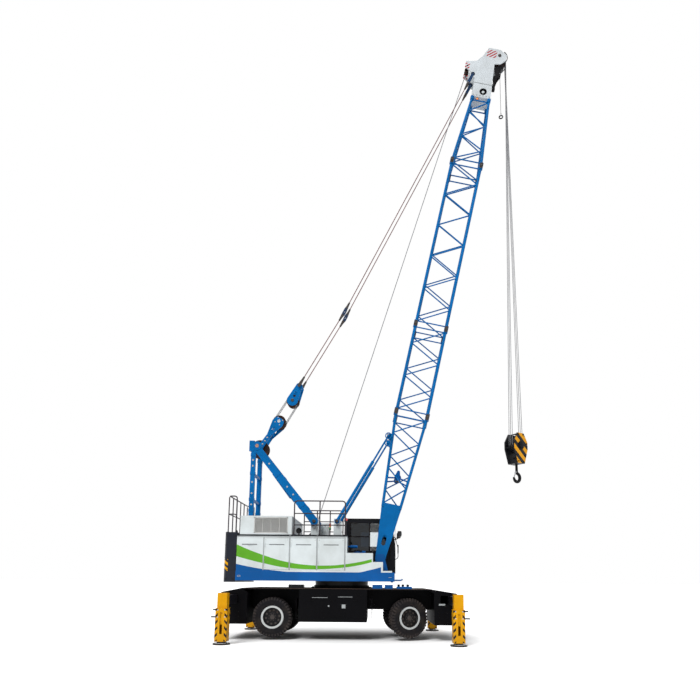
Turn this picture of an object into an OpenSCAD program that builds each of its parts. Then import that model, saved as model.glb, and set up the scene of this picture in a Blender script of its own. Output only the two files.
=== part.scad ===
// Wheeled lattice boom crane standing on four outriggers.
// Frame: +X forward, +Y to the machine's left, +Z up.
// The origin is on the ground below the slewing axis. Millimetres.

/* [Carrier] */
// Width of the carrier over its deck
carrier_w = 2700; // [2660:10:2760]
// Height of the deck's top face
deck_z = 1560; // [1540:5:1600]
// Distance from the slewing axis to each axle
axle_x = 2040; // [2000:10:2060]
// Distance from the slewing axis to the middle of an end's two outrigger beams
beam_pair_x = 3330; // [3320:5:3360]
// Distance between an end's two outrigger beams
beam_pitch = 250; // [246:1:270]

/* [Wheels] */
// Outer diameter of a tyre
tyre_d = 1200; // [1160:5:1220]
// Width of a tyre
tyre_w = 340; // [320:5:350]
// Diameter of the rim's flange
rim_d = 690; // [670:5:710]
// Height of the tyres above the ground with the machine jacked up
tyre_lift = 80; // [60:5:120]
// Distance from the middle plane to the middle of a tyre
wheel_y = 1100; // [1090:5:1120]
// Distance from the middle plane to a kingpin
kingpin_y = 900; // [880:5:905]
// Angle that the front wheels are turned to the left
steer_turn = 22; // [-20:1:22]

/* [Outriggers] */
// Distance from the middle plane to the middle of a foot
foot_y = 2600; // [2560:10:2700]
// Diameter of a foot plate
foot_d = 480; // [440:10:520]
// Outer width of a jack's square sleeve
sleeve_w = 330; // [325:1:340]
// Height of the top of a jack's sleeve
sleeve_top = 1010; // [980:5:1020]

/* [Upperworks] */
// Height of the underside of the turntable frame
frame_z = 1780; // [1770:5:1800]
// Height of the turntable frame
frame_h = 270; // [250:5:290]
// Width of the upperworks
house_w = 2800; // [2760:10:2860]
// Height of the house from the frame to its roof
house_h = 1090; // [1060:10:1130]
// Height of the cooler box on the rear of the roof
cooler_h = 580; // [540:10:620]
// Thickness of the counterweight
counterweight_t = 360; // [320:10:420]
// Height of a handrail above the roof
rail_h = 1065; // [1000:5:1120]

/* [Cab] */
// Length of the cab
cab_len = 1720; // [1680:10:1740]
// Width of the cab
cab_w = 850; // [820:10:880]
// Height of the cab
cab_h = 1850; // [1800:10:1900]

/* [Gantry] */
// Height of the gantry's top shaft
apex_z = 6170; // [6100:10:6250]
// Distance of the gantry's top shaft behind the slewing axis
apex_back = 2830; // [2800:10:2860]

/* [Boom] */
// Angle of the boom above level
boom_angle = 78; // [74:0.5:79]
// Depth of the boom over its chords' axes
boom_depth = 1060; // [1020:10:1100]
// Width of the boom over its chords' axes
boom_width = 920; // [900:10:940]
// Diameter of a chord tube
chord_d = 92; // [84:2:100]
// Diameter of a lacing tube
lace_d = 46; // [40:2:52]
// Length of the butt section
butt_len = 4880; // [4800:20:4960]
// Length of the first insert
insert1_len = 3170; // [3100:10:3240]
// Length of the second insert
insert2_len = 6310; // [6200:10:6400]
// Length of the tapering top section
top_len = 2890; // [2850:10:2950]

/* [Hook] */
// Height of the middle of the hook block
block_z = 6300; // [6000:50:6600]

/* [Hidden] */
$fn = 48;
eps = 1;

blue = "#0A77BE";
deep_blue = "#0058A8";
pale = "#D8E0E2";
dark = "#1E222C";
black = "#14141A";
amber = "#F0AE00";
grey = "#6A6A70";
glass_tint = [0.5, 0.6, 0.65, 0.4];

// Clearances: between fixed neighbours, turning faces, guiding runners and free sliding faces
seat = 0.3;
turn_gap = 3;
run_gap = 0.5;
slide_gap = 6;

deck_t = 40;
half_w = carrier_w / 2;
end_x0 = 2900;
rear_x0 = 2800;
beam_w = 220;
beam_h = 260;
end_x1 = beam_pair_x + beam_pitch / 2 + beam_w / 2 + slide_gap + 24;
end_z0 = 480;
end_z1 = deck_z - 130;
beam_z = 1230;
spine_w = 840;
spine_z0 = 900;
wheel_z = tyre_lift + tyre_d / 2;
post_w = 270;
post_top = 1430;
post_bottom = 560;

frame_top = frame_z + frame_h;
house_front = 30;
house_near_front = 220;
house_rear = -3170;
frame_rear = -3180;
frame_front = 1690;
house_y = house_w / 2;
roof_z = frame_top + house_h;
roof_t = 50;
roof_top = roof_z + roof_t;
cooler_top = roof_top + cooler_h;
wall = 40;
cw_top = 3255;
cw_bottom = 1730;

foot_pin = [1260, 0, 2540];
apex = [-apex_back, 0, apex_z];
cab_x0 = 60;
cab_y0 = house_y - 800;
bracket_t = 40;
plate_t = 40;
chord_y = boom_width / 2;

joint1 = butt_len;
joint2 = joint1 + insert1_len;
joint3 = joint2 + insert2_len;
head_s = joint3 + top_len;
sheave_s = head_s + 1890;
sheave_n = 353;
sheave_r = 245;
lug_s = head_s + 917;
lug_n = -478;
lug_y = 250;
guide_s = head_s + 1220;
guide_n = -736;
backstop_s = 3977;
backstop_n = -600;
backstop_base = [-160, 0, 3700];
section_gap = 0.5;
leg_y = 555;
strut_foot = [-900, 0, 3695];
strut_pin_r = 40;
shaft_r = 45;
foot_pin_r = 48;
backstop_pin_r = 40;
post_y = 410;
post_t = 40;
backstop_y = 540;

// Place of a point given along the boom (s) and forward of its axis (n), at side y
function on_boom(s, n, y = 0) = foot_pin + [
  s * cos(boom_angle) + n * sin(boom_angle), y, s * sin(boom_angle) - n * cos(boom_angle)];

sheave_at = on_boom(sheave_s, sheave_n);
lug_at = on_boom(lug_s, lug_n);
guide_at = on_boom(guide_s, guide_n);
backstop_at = on_boom(backstop_s, backstop_n);
rope_base = [-990, 0, roof_top + 60];
rope_r = 14;
guide_pin_r = 25;
rope_run = (guide_at - rope_base) / norm(guide_at - rope_base);
block_x = sheave_at.x + sheave_r + 15;
bail_at = [-2205, 0, 7120];
block_at = [-1770, 0, 7860];
yoke_at = [-1550, 0, 8360];
middle_at = [-40, 0, 11030];

// A bar of round or polygonal section between two points
module bar(p, q, r, sides = 12) {
  d = q - p;
  translate(p)
    rotate([0, acos(d.z / norm(d)), atan2(d.y, d.x)])
      cylinder(r = r, h = norm(d), $fn = sides);
}

// A rectangular bar in a plane of constant y between two points
module flat_bar(p, q, depth, thick) {
  d = q - p;
  translate(p)
    rotate([0, atan2(d.x, d.z), 0])
      translate([-depth / 2, -thick / 2, 0])
        cube([depth, thick, norm(d)]);
}

// A plate in a plane of constant y between two points, its width running between two ends
module tapered_plate(p, q, w0, w1, thick) {
  d = q - p;
  translate(p)
    rotate([0, atan2(d.x, d.z), 0])
      translate([0, thick / 2, 0])
        rotate([90, 0, 0])
          linear_extrude(thick)
            polygon([[-w0 / 2, 0], [w0 / 2, 0], [w1 / 2, norm(d)], [-w1 / 2, norm(d)]]);
}

// A box between two corners
module block(a, b) {
  translate(a) cube(b - a);
}

// A cylinder along Y, centred at a point
module cross_pin(at, r, len) {
  translate(at) rotate([90, 0, 0]) cylinder(r = r, h = len, center = true);
}

// An outline in the boom's own plane, as a plate of given thickness centred at y
module boom_plate(y, thick) {
  translate([0, y + thick / 2, 0]) rotate([90, 0, 0]) linear_extrude(thick) children();
}

// Children are drawn in the boom's own frame: X forward of its axis, Z along it
module boom_frame() {
  translate(foot_pin) rotate([0, 90 - boom_angle, 0]) children();
}

module both_sides() {
  children();
  mirror([0, 1, 0]) children();
}

module carrier_tunnels() {
  for (side = [-1, 1])
    for (turn = [0, 180])
      rotate([0, 0, turn])
        block([beam_pair_x - side * beam_pitch / 2 - beam_w / 2 - slide_gap, -half_w - 50,
               beam_z - beam_h / 2 - run_gap],
              [beam_pair_x - side * beam_pitch / 2 + beam_w / 2 + slide_gap, half_w + 50,
               beam_z + beam_h / 2 + slide_gap]);
}

module carrier_frame() {
  color(black)
    difference() {
      union() {
        block([-2950, -half_w, deck_z - deck_t], [2770, half_w, deck_z]);
        block([-rear_x0 - 20, -spine_w / 2, spine_z0], [end_x0 + 20, spine_w / 2, deck_z - deck_t / 2]);
        block([-1220, -half_w, 550], [850, half_w, deck_z - deck_t / 2]);
        for (turn = [0, 180])
          rotate([0, 0, turn])
            block([turn == 0 ? end_x0 : rear_x0, -half_w, end_z0], [end_x1, half_w, end_z1]);
        translate([0, half_w, 0])
          rotate([90, 0, 0])
            linear_extrude(carrier_w)
              polygon([[2769, deck_z], [end_x1, end_z1], [end_x0, end_z1 - eps], [2769, deck_z - deck_t]]);
        translate([0, half_w, 0])
          rotate([90, 0, 0])
            linear_extrude(carrier_w)
              polygon([[-2949, deck_z], [-2949, deck_z - deck_t], [-rear_x0, end_z1 - eps], [-end_x1, end_z1]]);
      }
      carrier_tunnels();
      block([-1195, -half_w + 25, 575], [825, -spine_w / 2, deck_z - deck_t]);
      block([-1195, spine_w / 2, 575], [825, half_w - 25, deck_z - deck_t]);
      block([-rear_x0 + 30, -spine_w / 2 + 30, spine_z0 + 40],
            [end_x0 - 50, spine_w / 2 - 30, deck_z - deck_t - 20]);
      for (turn = [0, 180])
        rotate([0, 0, turn]) {
          block([(turn == 0 ? end_x0 : rear_x0) + 30, -half_w + 30, end_z0 + 30],
                [end_x1 - 30, half_w - 30, beam_z - beam_h / 2 - slide_gap - 30]);
          translate([end_x1 - 60, 0, 800]) rotate([0, 90, 0]) cylinder(r = 60, h = 120);
        }
      translate([0, 0, spine_z0 - 20]) cylinder(r = 300, h = 100);
    }
}

slew_r = 900;
slew_split = frame_z - 130;

module slew_ring() {
  color(black)
    translate([0, 0, deck_z])
      difference() {
        cylinder(r = slew_r, h = slew_split - deck_z, $fn = 96);
        translate([0, 0, -eps]) cylinder(r = slew_r - 180, h = 400, $fn = 96);
      }
}

axle_r = 95;
spindle_r = 58;
spindle_out = 60;

// Blocks that carry an axle's beam from the spine above it
module axle_seats(x) {
  both_sides() block([x - 90, 260, wheel_z], [x + 90, 380, spine_z0]);
}

module rear_axle() {
  color(black)
    union() {
      cross_pin([-axle_x, 0, wheel_z], axle_r, 2 * (wheel_y - 130));
      cross_pin([-axle_x, 0, wheel_z], spindle_r, 2 * (wheel_y + spindle_out));
      translate([-axle_x, 0, wheel_z]) sphere(r = 210);
      axle_seats(-axle_x);
    }
}

yoke_z = 130;
yoke_t = 50;
kingpin_r = 28;

module front_axle() {
  color(black)
    union() {
      block([axle_x - 80, -kingpin_y + 140, wheel_z - 90], [axle_x + 80, kingpin_y - 140, wheel_z + 90]);
      axle_seats(axle_x);
      both_sides() {
        for (up = [-1, 1])
          block([axle_x - 60, kingpin_y - 190, wheel_z + up * yoke_z - yoke_t / 2],
                [axle_x + 60, kingpin_y + 50, wheel_z + up * yoke_z + yoke_t / 2]);
        block([axle_x - 60, kingpin_y - 190, wheel_z - yoke_z],
              [axle_x + 60, kingpin_y - 130, wheel_z + yoke_z]);
        translate([axle_x, kingpin_y, wheel_z - yoke_z]) cylinder(r = kingpin_r, h = 2 * yoke_z);
      }
    }
}

// The frame of a kingpin, turned by the steering
module steered(side) {
  translate([axle_x, side * kingpin_y, wheel_z]) rotate([0, 0, steer_turn]) children();
}

module knuckle(side) {
  barrel_h = 2 * (yoke_z - yoke_t / 2 - slide_gap);
  reach = wheel_y - kingpin_y + spindle_out;
  color(grey)
    steered(side)
      difference() {
        union() {
          cylinder(r = 66, h = barrel_h, center = true);
          cross_pin([0, side * reach / 2, 0], spindle_r, reach);
        }
        cylinder(r = kingpin_r + run_gap, h = 2 * yoke_z, center = true);
      }
}

// The frame of a wheel: its Z axis points out of the machine
module wheel_frame(front, side) {
  if (front)
    steered(side)
      translate([0, side * (wheel_y - kingpin_y), 0])
        rotate([-90 * side, 0, 0]) children();
  else
    translate([-axle_x, side * wheel_y, wheel_z])
      rotate([-90 * side, 0, 0]) children();
}

module tyre(front, side) {
  bead = rim_d / 2;
  top = tyre_d / 2;
  half = tyre_w / 2;
  color("#1A1A1C")
    wheel_frame(front, side)
      rotate_extrude($fn = 72)
        polygon([[bead, -half * 0.72], [bead + 45, -half * 0.95], [bead + 130, -half], [top - 40, -half * 0.96],
                 [top, -half * 0.84], [top, half * 0.84], [top - 40, half * 0.96], [bead + 130, half],
                 [bead + 45, half * 0.95], [bead, half * 0.72]]);
}

module rim(front, side) {
  edge = rim_d / 2 - seat;
  bore = spindle_r + run_gap;
  color(pale)
    wheel_frame(front, side)
      rotate_extrude($fn = 72)
        polygon([[bore, -90], [140, -90], [140, 20], [edge - 30, 20], [edge - 30, -120], [edge, -120],
                 [edge, 128], [270, 128], [262, 118], [262, 96], [edge - 36, 84], [edge - 36, 46], [140, 46],
                 [140, 96], [126, 106], [0, 106], [0, spindle_out + 6], [bore, spindle_out + 6]]);
}

// The frame of an outrigger: X along the machine from its post, Y out of the machine
module outrigger_frame(front, side) {
  end = front ? 1 : -1;
  x = end * beam_pair_x - side * beam_pitch / 2;
  translate([x, side * foot_y, 0]) mirror([0, side > 0 ? 0 : 1, 0]) children();
}

beam_in = 2050;

module beam(front, side) {
  color(amber)
    outrigger_frame(front, side)
      union() {
        block([-beam_w / 2, -beam_in, beam_z - beam_h / 2], [beam_w / 2, 0, beam_z + beam_h / 2]);
        block([-post_w / 2, -post_w / 2, post_bottom], [post_w / 2, post_w / 2, post_top]);
      }
}

sleeve_t = (sleeve_w - post_w) / 2 - run_gap;
jack_travel = 420;

module jack(front, side) {
  slot = beam_w + 2 * slide_gap;
  color(amber)
    outrigger_frame(front, side)
      union() {
        difference() {
          block([-sleeve_w / 2, -sleeve_w / 2, 90], [sleeve_w / 2, sleeve_w / 2, sleeve_top]);
          block([-sleeve_w / 2 + sleeve_t, -sleeve_w / 2 + sleeve_t, 115],
                [sleeve_w / 2 - sleeve_t, sleeve_w / 2 - sleeve_t, sleeve_top + eps]);
          block([-slot / 2, -sleeve_w, sleeve_top - jack_travel], [slot / 2, 0, sleeve_top + eps]);
          block([-35, 0, 300], [35, sleeve_w, sleeve_top - 120]);
        }
        cylinder(r = foot_d / 2, h = 40);
        translate([0, 0, 39]) cylinder(r = 120, h = 52);
      }
}

module deck_fittings() {
  color(deep_blue)
    union() {
      block([1010, -half_w + 60, deck_z], [1320, -half_w + 260, deck_z + 120]);
      block([1390, -half_w + 60, deck_z], [1640, -half_w + 260, deck_z + 120]);
      block([1755, -half_w + 60, deck_z], [2225, -half_w + 300, deck_z + 70]);
      block([-1560, -half_w + 60, deck_z], [-1110, -half_w + 420, deck_z + 110]);
    }
}

module tow_jaws() {
  color(grey)
    for (turn = [0, 180])
      rotate([0, 0, turn])
        difference() {
          block([end_x1, -120, 640], [end_x1 + 110, 120, 790]);
          block([end_x1 + 30, -130, 690], [end_x1 + 120, 130, 740]);
          translate([end_x1 + 70, 0, 600]) cylinder(r = 26, h = 250);
        }
}

// Plan of the house, drawn in by a given distance
module house_plan(inset) {
  near = -house_y + inset;
  far = house_y - inset;
  polygon([[house_rear + inset, near], [house_near_front - inset, near],
           [house_near_front - inset, -640 - inset],
           [house_front - inset, -640 - inset], [house_front - inset, far], [house_rear + inset, far]]);
}

module turntable_frame() {
  bracket_x = foot_pin.x;
  color(deep_blue)
    union() {
      difference() {
        block([frame_rear, -house_y, frame_z], [frame_front, house_y, frame_top]);
        block([frame_rear + 30, -house_y + 30, frame_z + 30], [frame_front - 30, -560, frame_top - 30]);
        block([frame_rear + 30, 560, frame_z + 30], [frame_front - 30, house_y - 30, frame_top - 30]);
        block([frame_rear + 30, -530, frame_z + 30], [frame_front - 30, 530, frame_top - 30]);
        translate([0, 0, frame_z - eps]) cylinder(r = 480, h = 32);
      }
      translate([0, 0, slew_split + run_gap])
        difference() {
          cylinder(r = slew_r - 40, h = frame_z - slew_split - run_gap + eps, $fn = 96);
          translate([0, 0, -eps]) cylinder(r = 480, h = 300, $fn = 96);
        }
    }
  color(deep_blue)
    both_sides() {
      union() {
        for (y = [chord_y - plate_t / 2 - slide_gap - bracket_t, chord_y + plate_t / 2 + slide_gap])
          translate([0, y + bracket_t, 0])
            rotate([90, 0, 0])
              linear_extrude(bracket_t)
                polygon([[bracket_x - 260, frame_top + seat], [bracket_x + 260, frame_top + seat],
                         [bracket_x + 110, foot_pin.z + 110], [bracket_x - 110, foot_pin.z + 110]]);
        translate([0, chord_y, 0]) cross_pin(foot_pin, foot_pin_r, plate_t + 2 * slide_gap + 2 * bracket_t);
      }
      union() {
        block([-1080, post_y, frame_top + seat], [-40, post_y + post_t, roof_top - 60]);
        for (x = [strut_foot.x, backstop_base.x])
          block([x - 110, post_y, roof_top - 100], [x + 110, post_y + post_t, strut_foot.z + 95]);
        translate([0, leg_y - 50, 0]) cross_pin(strut_foot, strut_pin_r, 210);
        translate([0, backstop_y - 30, 0]) cross_pin(backstop_base, backstop_pin_r, 170);
      }
    }
}

module counterweight() {
  x1 = frame_rear - seat;
  x0 = x1 - counterweight_t;
  color(dark)
    translate([0, 0, cw_bottom])
      linear_extrude(cw_top - cw_bottom)
        polygon([[x1, -house_y], [x1, house_y], [x0 + 60, house_y], [x0, house_y - 60], [x0, -house_y + 60],
                 [x0 + 60, -house_y]]);
}

door_edges = [-2342, -1538, -697, 163];
door_z0 = 2110;
door_z1 = 3085;
door_gap = 6;
handle_z = 2880;
hinge_r = 14;

module house_shell() {
  color(pale)
    difference() {
      translate([0, 0, frame_top]) linear_extrude(house_h) house_plan(0);
      translate([0, 0, frame_top - eps]) linear_extrude(house_h + 2) house_plan(wall);
      for (i = [0 : 2])
        block([door_edges[i] + 20, -house_y - eps, door_z0],
              [door_edges[i + 1] - 20, -house_y + wall + eps, door_z1]);
    }
}

module house_door(i) {
  x0 = door_edges[i] + 20 + run_gap;
  x1 = door_edges[i + 1] - 20 - door_gap;
  color(pale)
    difference() {
      union() {
        block([x0, -house_y, door_z0 + door_gap], [x1, -house_y + wall, door_z1 - door_gap]);
        for (z = [door_z0 + 160, door_z1 - 260])
          translate([x0 + 16, -house_y - 8, z]) cylinder(r = hinge_r, h = 100);
      }
      block([(x0 + x1) / 2 - 235, -house_y - eps, handle_z - 14],
            [(x0 + x1) / 2 + 235, -house_y + 18, handle_z + 14]);
    }
}

module house_roof() {
  color(dark)
    union() {
      difference() {
        translate([0, 0, roof_z]) linear_extrude(roof_t) house_plan(0);
        for (side = [-1, 1])
          block([-1080 - slide_gap, side * (post_y + post_t / 2) - post_t / 2 - slide_gap, roof_z - eps],
                [-40 + slide_gap, side * (post_y + post_t / 2) + post_t / 2 + slide_gap, roof_top + eps]);
        block([-1500, -130, roof_z - eps], [-380, 130, roof_top + eps]);
      }
      both_sides() {
        block([rope_base.x - 60, 130, roof_z], [rope_base.x + 60, 170, rope_base.z + 40]);
        translate([0, 105, 0]) cross_pin(rope_base, guide_pin_r, 90);
      }
    }
}

cooler_x0 = -3095;
cooler_x1 = -1500;
grille_x0 = -2670;
grille_x1 = -1620;
grille_z0 = roof_top + 40;
grille_z1 = cooler_top - 40;

module cooler_box() {
  y = house_y - 20;
  color(pale)
    difference() {
      block([cooler_x0, -y, roof_top], [cooler_x1, y, cooler_top]);
      block([cooler_x0 + wall, -y + wall, roof_top - eps], [cooler_x1 - wall, y - wall, cooler_top - wall]);
      for (side = [-1, 1])
        block([grille_x0, side * y - 60, grille_z0], [grille_x1, side * y + 60, grille_z1]);
    }
}

module cooler_grille() {
  y = house_y - 20;
  bars = 14;
  pitch = (grille_z1 - grille_z0) / bars;
  color("#B5B5B3")
    both_sides()
      union() {
        difference() {
          block([grille_x0 + seat, y - 36, grille_z0 + seat], [grille_x1 - seat, y, grille_z1 - seat]);
          block([grille_x0 + 35, y - 50, grille_z0 + 35], [grille_x1 - 35, y + 20, grille_z1 - 35]);
        }
        for (i = [1 : bars - 1])
          block([grille_x0 + 20, y - 30, grille_z0 + i * pitch - 7],
                [grille_x1 - 20, y - 8, grille_z0 + i * pitch + 7]);
        for (k = [1 : 3])
          block([grille_x0 + k * (grille_x1 - grille_x0) / 4 - 10, y - 34, grille_z0 + 20],
                [grille_x0 + k * (grille_x1 - grille_x0) / 4 + 10, y - 12, grille_z1 - 20]);
      }
}

cover_steps = [[1020, 2640], [1330, 2370], [1610, 2100]];

module step_covers() {
  near = -house_y;
  inner = -640;
  x0 = house_near_front + seat;
  color(pale)
    difference() {
      union() {
        block([x0, near, frame_top], [cover_steps[0].x, inner, cover_steps[0].y]);
        block([x0, near, frame_top], [cover_steps[1].x, inner, cover_steps[1].y]);
        block([x0, near, frame_top], [cover_steps[2].x, inner, cover_steps[2].y]);
      }
      block([x0 + 25, near + 25, frame_top - eps], [cover_steps[0].x - 25, inner - 25, cover_steps[0].y - 25]);
      block([cover_steps[0].x - 30, near + 25, frame_top - eps],
            [cover_steps[1].x - 25, inner - 25, cover_steps[1].y - 25]);
    }
}

module power_block() {
  color(grey) block([-2700, -800, frame_top], [-1600, 800, frame_top + 650]);
}

drum_at = [520, 0, 2440];

module winches() {
  color(deep_blue)
    union() {
      cross_pin(drum_at, 200, 620);
      for (side = [-1, 1]) {
        cross_pin(drum_at + [0, side * 320, 0], 300, 30);
        block([drum_at.x - 170, side * 345 - 15, frame_top], [drum_at.x + 170, side * 345 + 15, drum_at.z]);
      }
      cross_pin(drum_at, 90, 720);
      translate([house_near_front + seat, -900, 2860]) rotate([0, 90, 0]) cylinder(r = 24, h = 100);
      translate([house_near_front + 90, -900, 2860]) rotate([0, 90, 0]) cylinder(r = 45, h = 220);
      translate([726, -900, cover_steps[0].y]) cylinder(r = 75, h = 40);
      translate([726, -900, cover_steps[0].y + 39]) cylinder(r = 60, h = 50);
    }
}

rail_r = 20;

// A run of handrail on posts between two points on a floor
module rail_run(p, q, posts, heights) {
  top = heights[len(heights) - 1];
  for (i = [0 : posts - 1])
    bar(p + (q - p) * i / (posts - 1), p + (q - p) * i / (posts - 1) + [0, 0, top], rail_r, 10);
  for (h = heights)
    bar(p + [0, 0, h], q + [0, 0, h], rail_r, 10);
}

module railings() {
  near = -house_y + 100;
  heights = [310, 670, rail_h];
  cage = 1135;
  cage_x0 = frame_rear - counterweight_t + 60;
  cage_x1 = frame_rear - 60;
  color("#4A4248")
    union() {
      rail_run([-1440, near, roof_top], [150, near, roof_top], 3, heights);
      rail_run([-1440, -near, roof_top], [-60, -near, roof_top], 4, heights);
      rail_run([cage_x0, near, cw_top], [cage_x0, -near, cw_top], 6, [cage / 2, cage]);
      rail_run([cage_x0, near, cw_top], [cage_x1, near, cw_top], 2, [cage / 2, cage]);
      rail_run([cage_x0, -near, cw_top], [cage_x1, -near, cw_top], 2, [cage / 2, cage]);
    }
}

module signal_lights() {
  color("#C03030")
    union() {
      translate([-470, 700, roof_top]) cylinder(r = 32, h = 560);
      translate([150, -900, roof_top]) cylinder(r = 24, h = 480);
      translate([150, -900, roof_top + 470]) cylinder(r = 60, h = 110);
      block([-1120, house_y - 640, roof_top], [-530, house_y - 250, roof_top + 570]);
      translate([-1330, -900, roof_top]) cylinder(r = 20, h = 120);
      translate([-1330, -820, roof_top + 160]) rotate([90, 0, 0]) cylinder(r = 90, h = 140);
    }
}

leg_w = 150;
leg_t = 100;

module gantry() {
  leg_foot = [-2950, 0, cooler_top];
  top = apex + [-110, 0, 60];
  color(blue)
    difference() {
      union() {
        both_sides() {
          translate([0, leg_y, 0]) {
            flat_bar(leg_foot + [0, 0, 10], top, leg_w, leg_t);
            flat_bar(strut_foot, top, 240, leg_t - 10);
            cross_pin(strut_foot, 132, leg_t);
            block(leg_foot + [-150, -110, 0], leg_foot + [150, 110, 30]);
            flat_bar(apex + [-170, 0, -180], apex + [-170, 0, 170], 160, leg_t + 20);
            cross_pin(apex, 150, leg_t + 10);
          }
          translate([0, leg_y - 100, 0]) bar(apex + [560, 0, -900], apex + [1160, 0, -1700], 60, 24);
        }
        for (k = [0.25, 0.6])
          cross_pin(leg_foot + k * (top - leg_foot), 55, 2 * leg_y);
        for (k = [0.2, 0.6])
          cross_pin(strut_foot + k * (top - strut_foot), 60, 2 * leg_y);
      }
      cross_pin(apex, shaft_r + seat, 2 * house_y);
      cross_pin(strut_foot, strut_pin_r + seat, 2 * house_y);
    }
}

module gantry_sheaves() {
  color(grey)
    union() {
      cross_pin(apex, shaft_r, 2 * (leg_y + leg_t / 2 + 20));
      for (y = [-105, -35, 35, 105])
        translate([0, y, 0]) cross_pin(apex, 300, 56);
      cross_pin(apex, 120, 300);
    }
}

cab_x1 = cab_x0 + cab_len;
cab_y1 = cab_y0 + cab_w;
cab_z0 = frame_top;
cab_z1 = cab_z0 + cab_h;
cab_wall = 45;
rake = 130;
door_x0 = cab_x0 + 420;
door_x1 = cab_x1 - 260;

// Side outline of the cab, drawn in by a given distance
module cab_side(inset) {
  polygon([[cab_x0 + inset, cab_z0 + inset], [cab_x1 - inset, cab_z0 + inset],
           [cab_x1 - inset, cab_z0 + 0.45 * cab_h], [cab_x1 - rake - inset, cab_z1 - inset],
           [cab_x0 + inset, cab_z1 - inset]]);
}

// The cut windows, each as a block that passes through its wall
module cab_windows(y_extra, x_extra) {
  sill = cab_z0 + 760;
  head = cab_z1 - 150;
  block([cab_x0 + 130, cab_y0 - y_extra, sill], [cab_x1 - 290, cab_y0 + cab_wall + y_extra, head]);
  block([cab_x0 - x_extra, cab_y0 + 130, sill], [cab_x0 + cab_wall + x_extra, cab_y1 - 130, head]);
}

module cab_shell() {
  color(pale)
    difference() {
      translate([0, cab_y1, 0]) rotate([90, 0, 0]) linear_extrude(cab_w) cab_side(0);
      translate([0, cab_y1 - cab_wall, 0])
        rotate([90, 0, 0])
          linear_extrude(cab_w - 2 * cab_wall)
            cab_side(cab_wall);
      cab_windows(5, 5);
      block([cab_x1 - rake - 80, cab_y0 + 90, cab_z0 + 0.3 * cab_h], [cab_x1 + 20, cab_y1 - 90, cab_z1 - 110]);
      block([cab_x0 + 700, cab_y0 + 150, cab_z1 - 100], [cab_x1 - 400, cab_y1 - 150, cab_z1 + 10]);
      block([door_x0, cab_y1 - cab_wall - 5, cab_z0 + 60], [door_x1, cab_y1 + 5, cab_z1 - 90]);
    }
}

glass_t = 8;

module cab_glass() {
  sill = cab_z0 + 760 + seat;
  head = cab_z1 - 150 - seat;
  mid = cab_wall / 2 - glass_t / 2;
  bend = cab_z0 + 0.45 * cab_h;
  color(glass_tint) {
    block([cab_x0 + 130 + seat, cab_y0 + mid, sill], [cab_x1 - 290 - seat, cab_y0 + mid + glass_t, head]);
    block([cab_x0 + mid, cab_y0 + 130 + seat, sill], [cab_x0 + mid + glass_t, cab_y1 - 130 - seat, head]);
    block([cab_x0 + 700 + seat, cab_y0 + 150 + seat, cab_z1 - 30],
          [cab_x1 - 400 - seat, cab_y1 - 150 - seat, cab_z1 - 30 + glass_t]);
    translate([0, cab_y1 - 90 - seat, 0])
      rotate([90, 0, 0])
        linear_extrude(cab_w - 180 - 2 * seat)
          polygon([[cab_x1 - 26, bend], [cab_x1 - 18, bend], [cab_x1 - rake * 0.89 - 18, cab_z1 - 111],
                   [cab_x1 - rake * 0.89 - 26, cab_z1 - 111]]);
    block([cab_x1 - 26, cab_y0 + 90 + seat, cab_z0 + 0.3 * cab_h + seat],
          [cab_x1 - 18, cab_y1 - 90 - seat, bend - seat]);
  }
}

module cab_door() {
  gap = 6;
  color(pale)
    difference() {
      union() {
        block([door_x0 + run_gap, cab_y1 - cab_wall, cab_z0 + 60 + gap],
              [door_x1 - gap, cab_y1, cab_z1 - 90 - gap]);
        for (z = [cab_z0 + 200, cab_z1 - 340])
          translate([door_x0 + run_gap + 16, cab_y1 + 8, z]) cylinder(r = hinge_r, h = 120);
      }
      block([door_x0 + 90, cab_y1 - cab_wall - 5, cab_z0 + 760], [door_x1 - 90, cab_y1 + 5, cab_z1 - 180]);
    }
}

module cab_seat() {
  floor = cab_z0 + cab_wall;
  mid = cab_y0 + cab_w / 2;
  color(dark)
    union() {
      block([cab_x0 + 420, mid - 200, floor], [cab_x0 + 800, mid + 200, floor + 300]);
      block([cab_x0 + 360, mid - 240, floor + 290], [cab_x0 + 880, mid + 240, floor + 430]);
      block([cab_x0 + 300, mid - 230, floor + 320], [cab_x0 + 440, mid + 230, floor + 1050]);
      block([cab_x0 + 350, mid - 330, floor + 500], [cab_x0 + 950, mid - 245, floor + 580]);
      block([cab_x0 + 350, mid - 330, floor], [cab_x0 + 500, mid - 239, floor + 510]);
      block([cab_x0 + 350, mid + 245, floor + 500], [cab_x0 + 950, mid + 330, floor + 580]);
      block([cab_x0 + 350, mid + 239, floor], [cab_x0 + 500, mid + 330, floor + 510]);
    }
}

barrel_len = 2300;
rod_len = 2500;
barrel_r = 52;
rod_r = 30;
eye_slack = 50;
eye_half = rod_r + 1;
backstop_dir = (backstop_at - backstop_base) / norm(backstop_at - backstop_base);

module backstop_barrels() {
  color(blue)
    both_sides()
      translate([0, backstop_y, 0])
        difference() {
          union() {
            bar(backstop_base, backstop_base + barrel_len * backstop_dir, barrel_r, 32);
            cross_pin(backstop_base, 80, 2 * barrel_r - 30);
          }
          bar(backstop_base + 400 * backstop_dir, backstop_base + (barrel_len + 10) * backstop_dir,
              rod_r + slide_gap, 32);
          cross_pin(backstop_base, backstop_pin_r + run_gap, 4 * barrel_r);
        }
}

module backstop_rods() {
  color(blue)
    both_sides()
      translate([0, backstop_y, 0])
        difference() {
          union() {
            bar(backstop_at - rod_len * backstop_dir, backstop_at - 95 * backstop_dir, rod_r, 32);
            cross_pin(backstop_at, 30 + eye_slack + 30, 2 * eye_half);
          }
          cross_pin(backstop_at, 30 + eye_slack, 200);
        }
}

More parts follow.
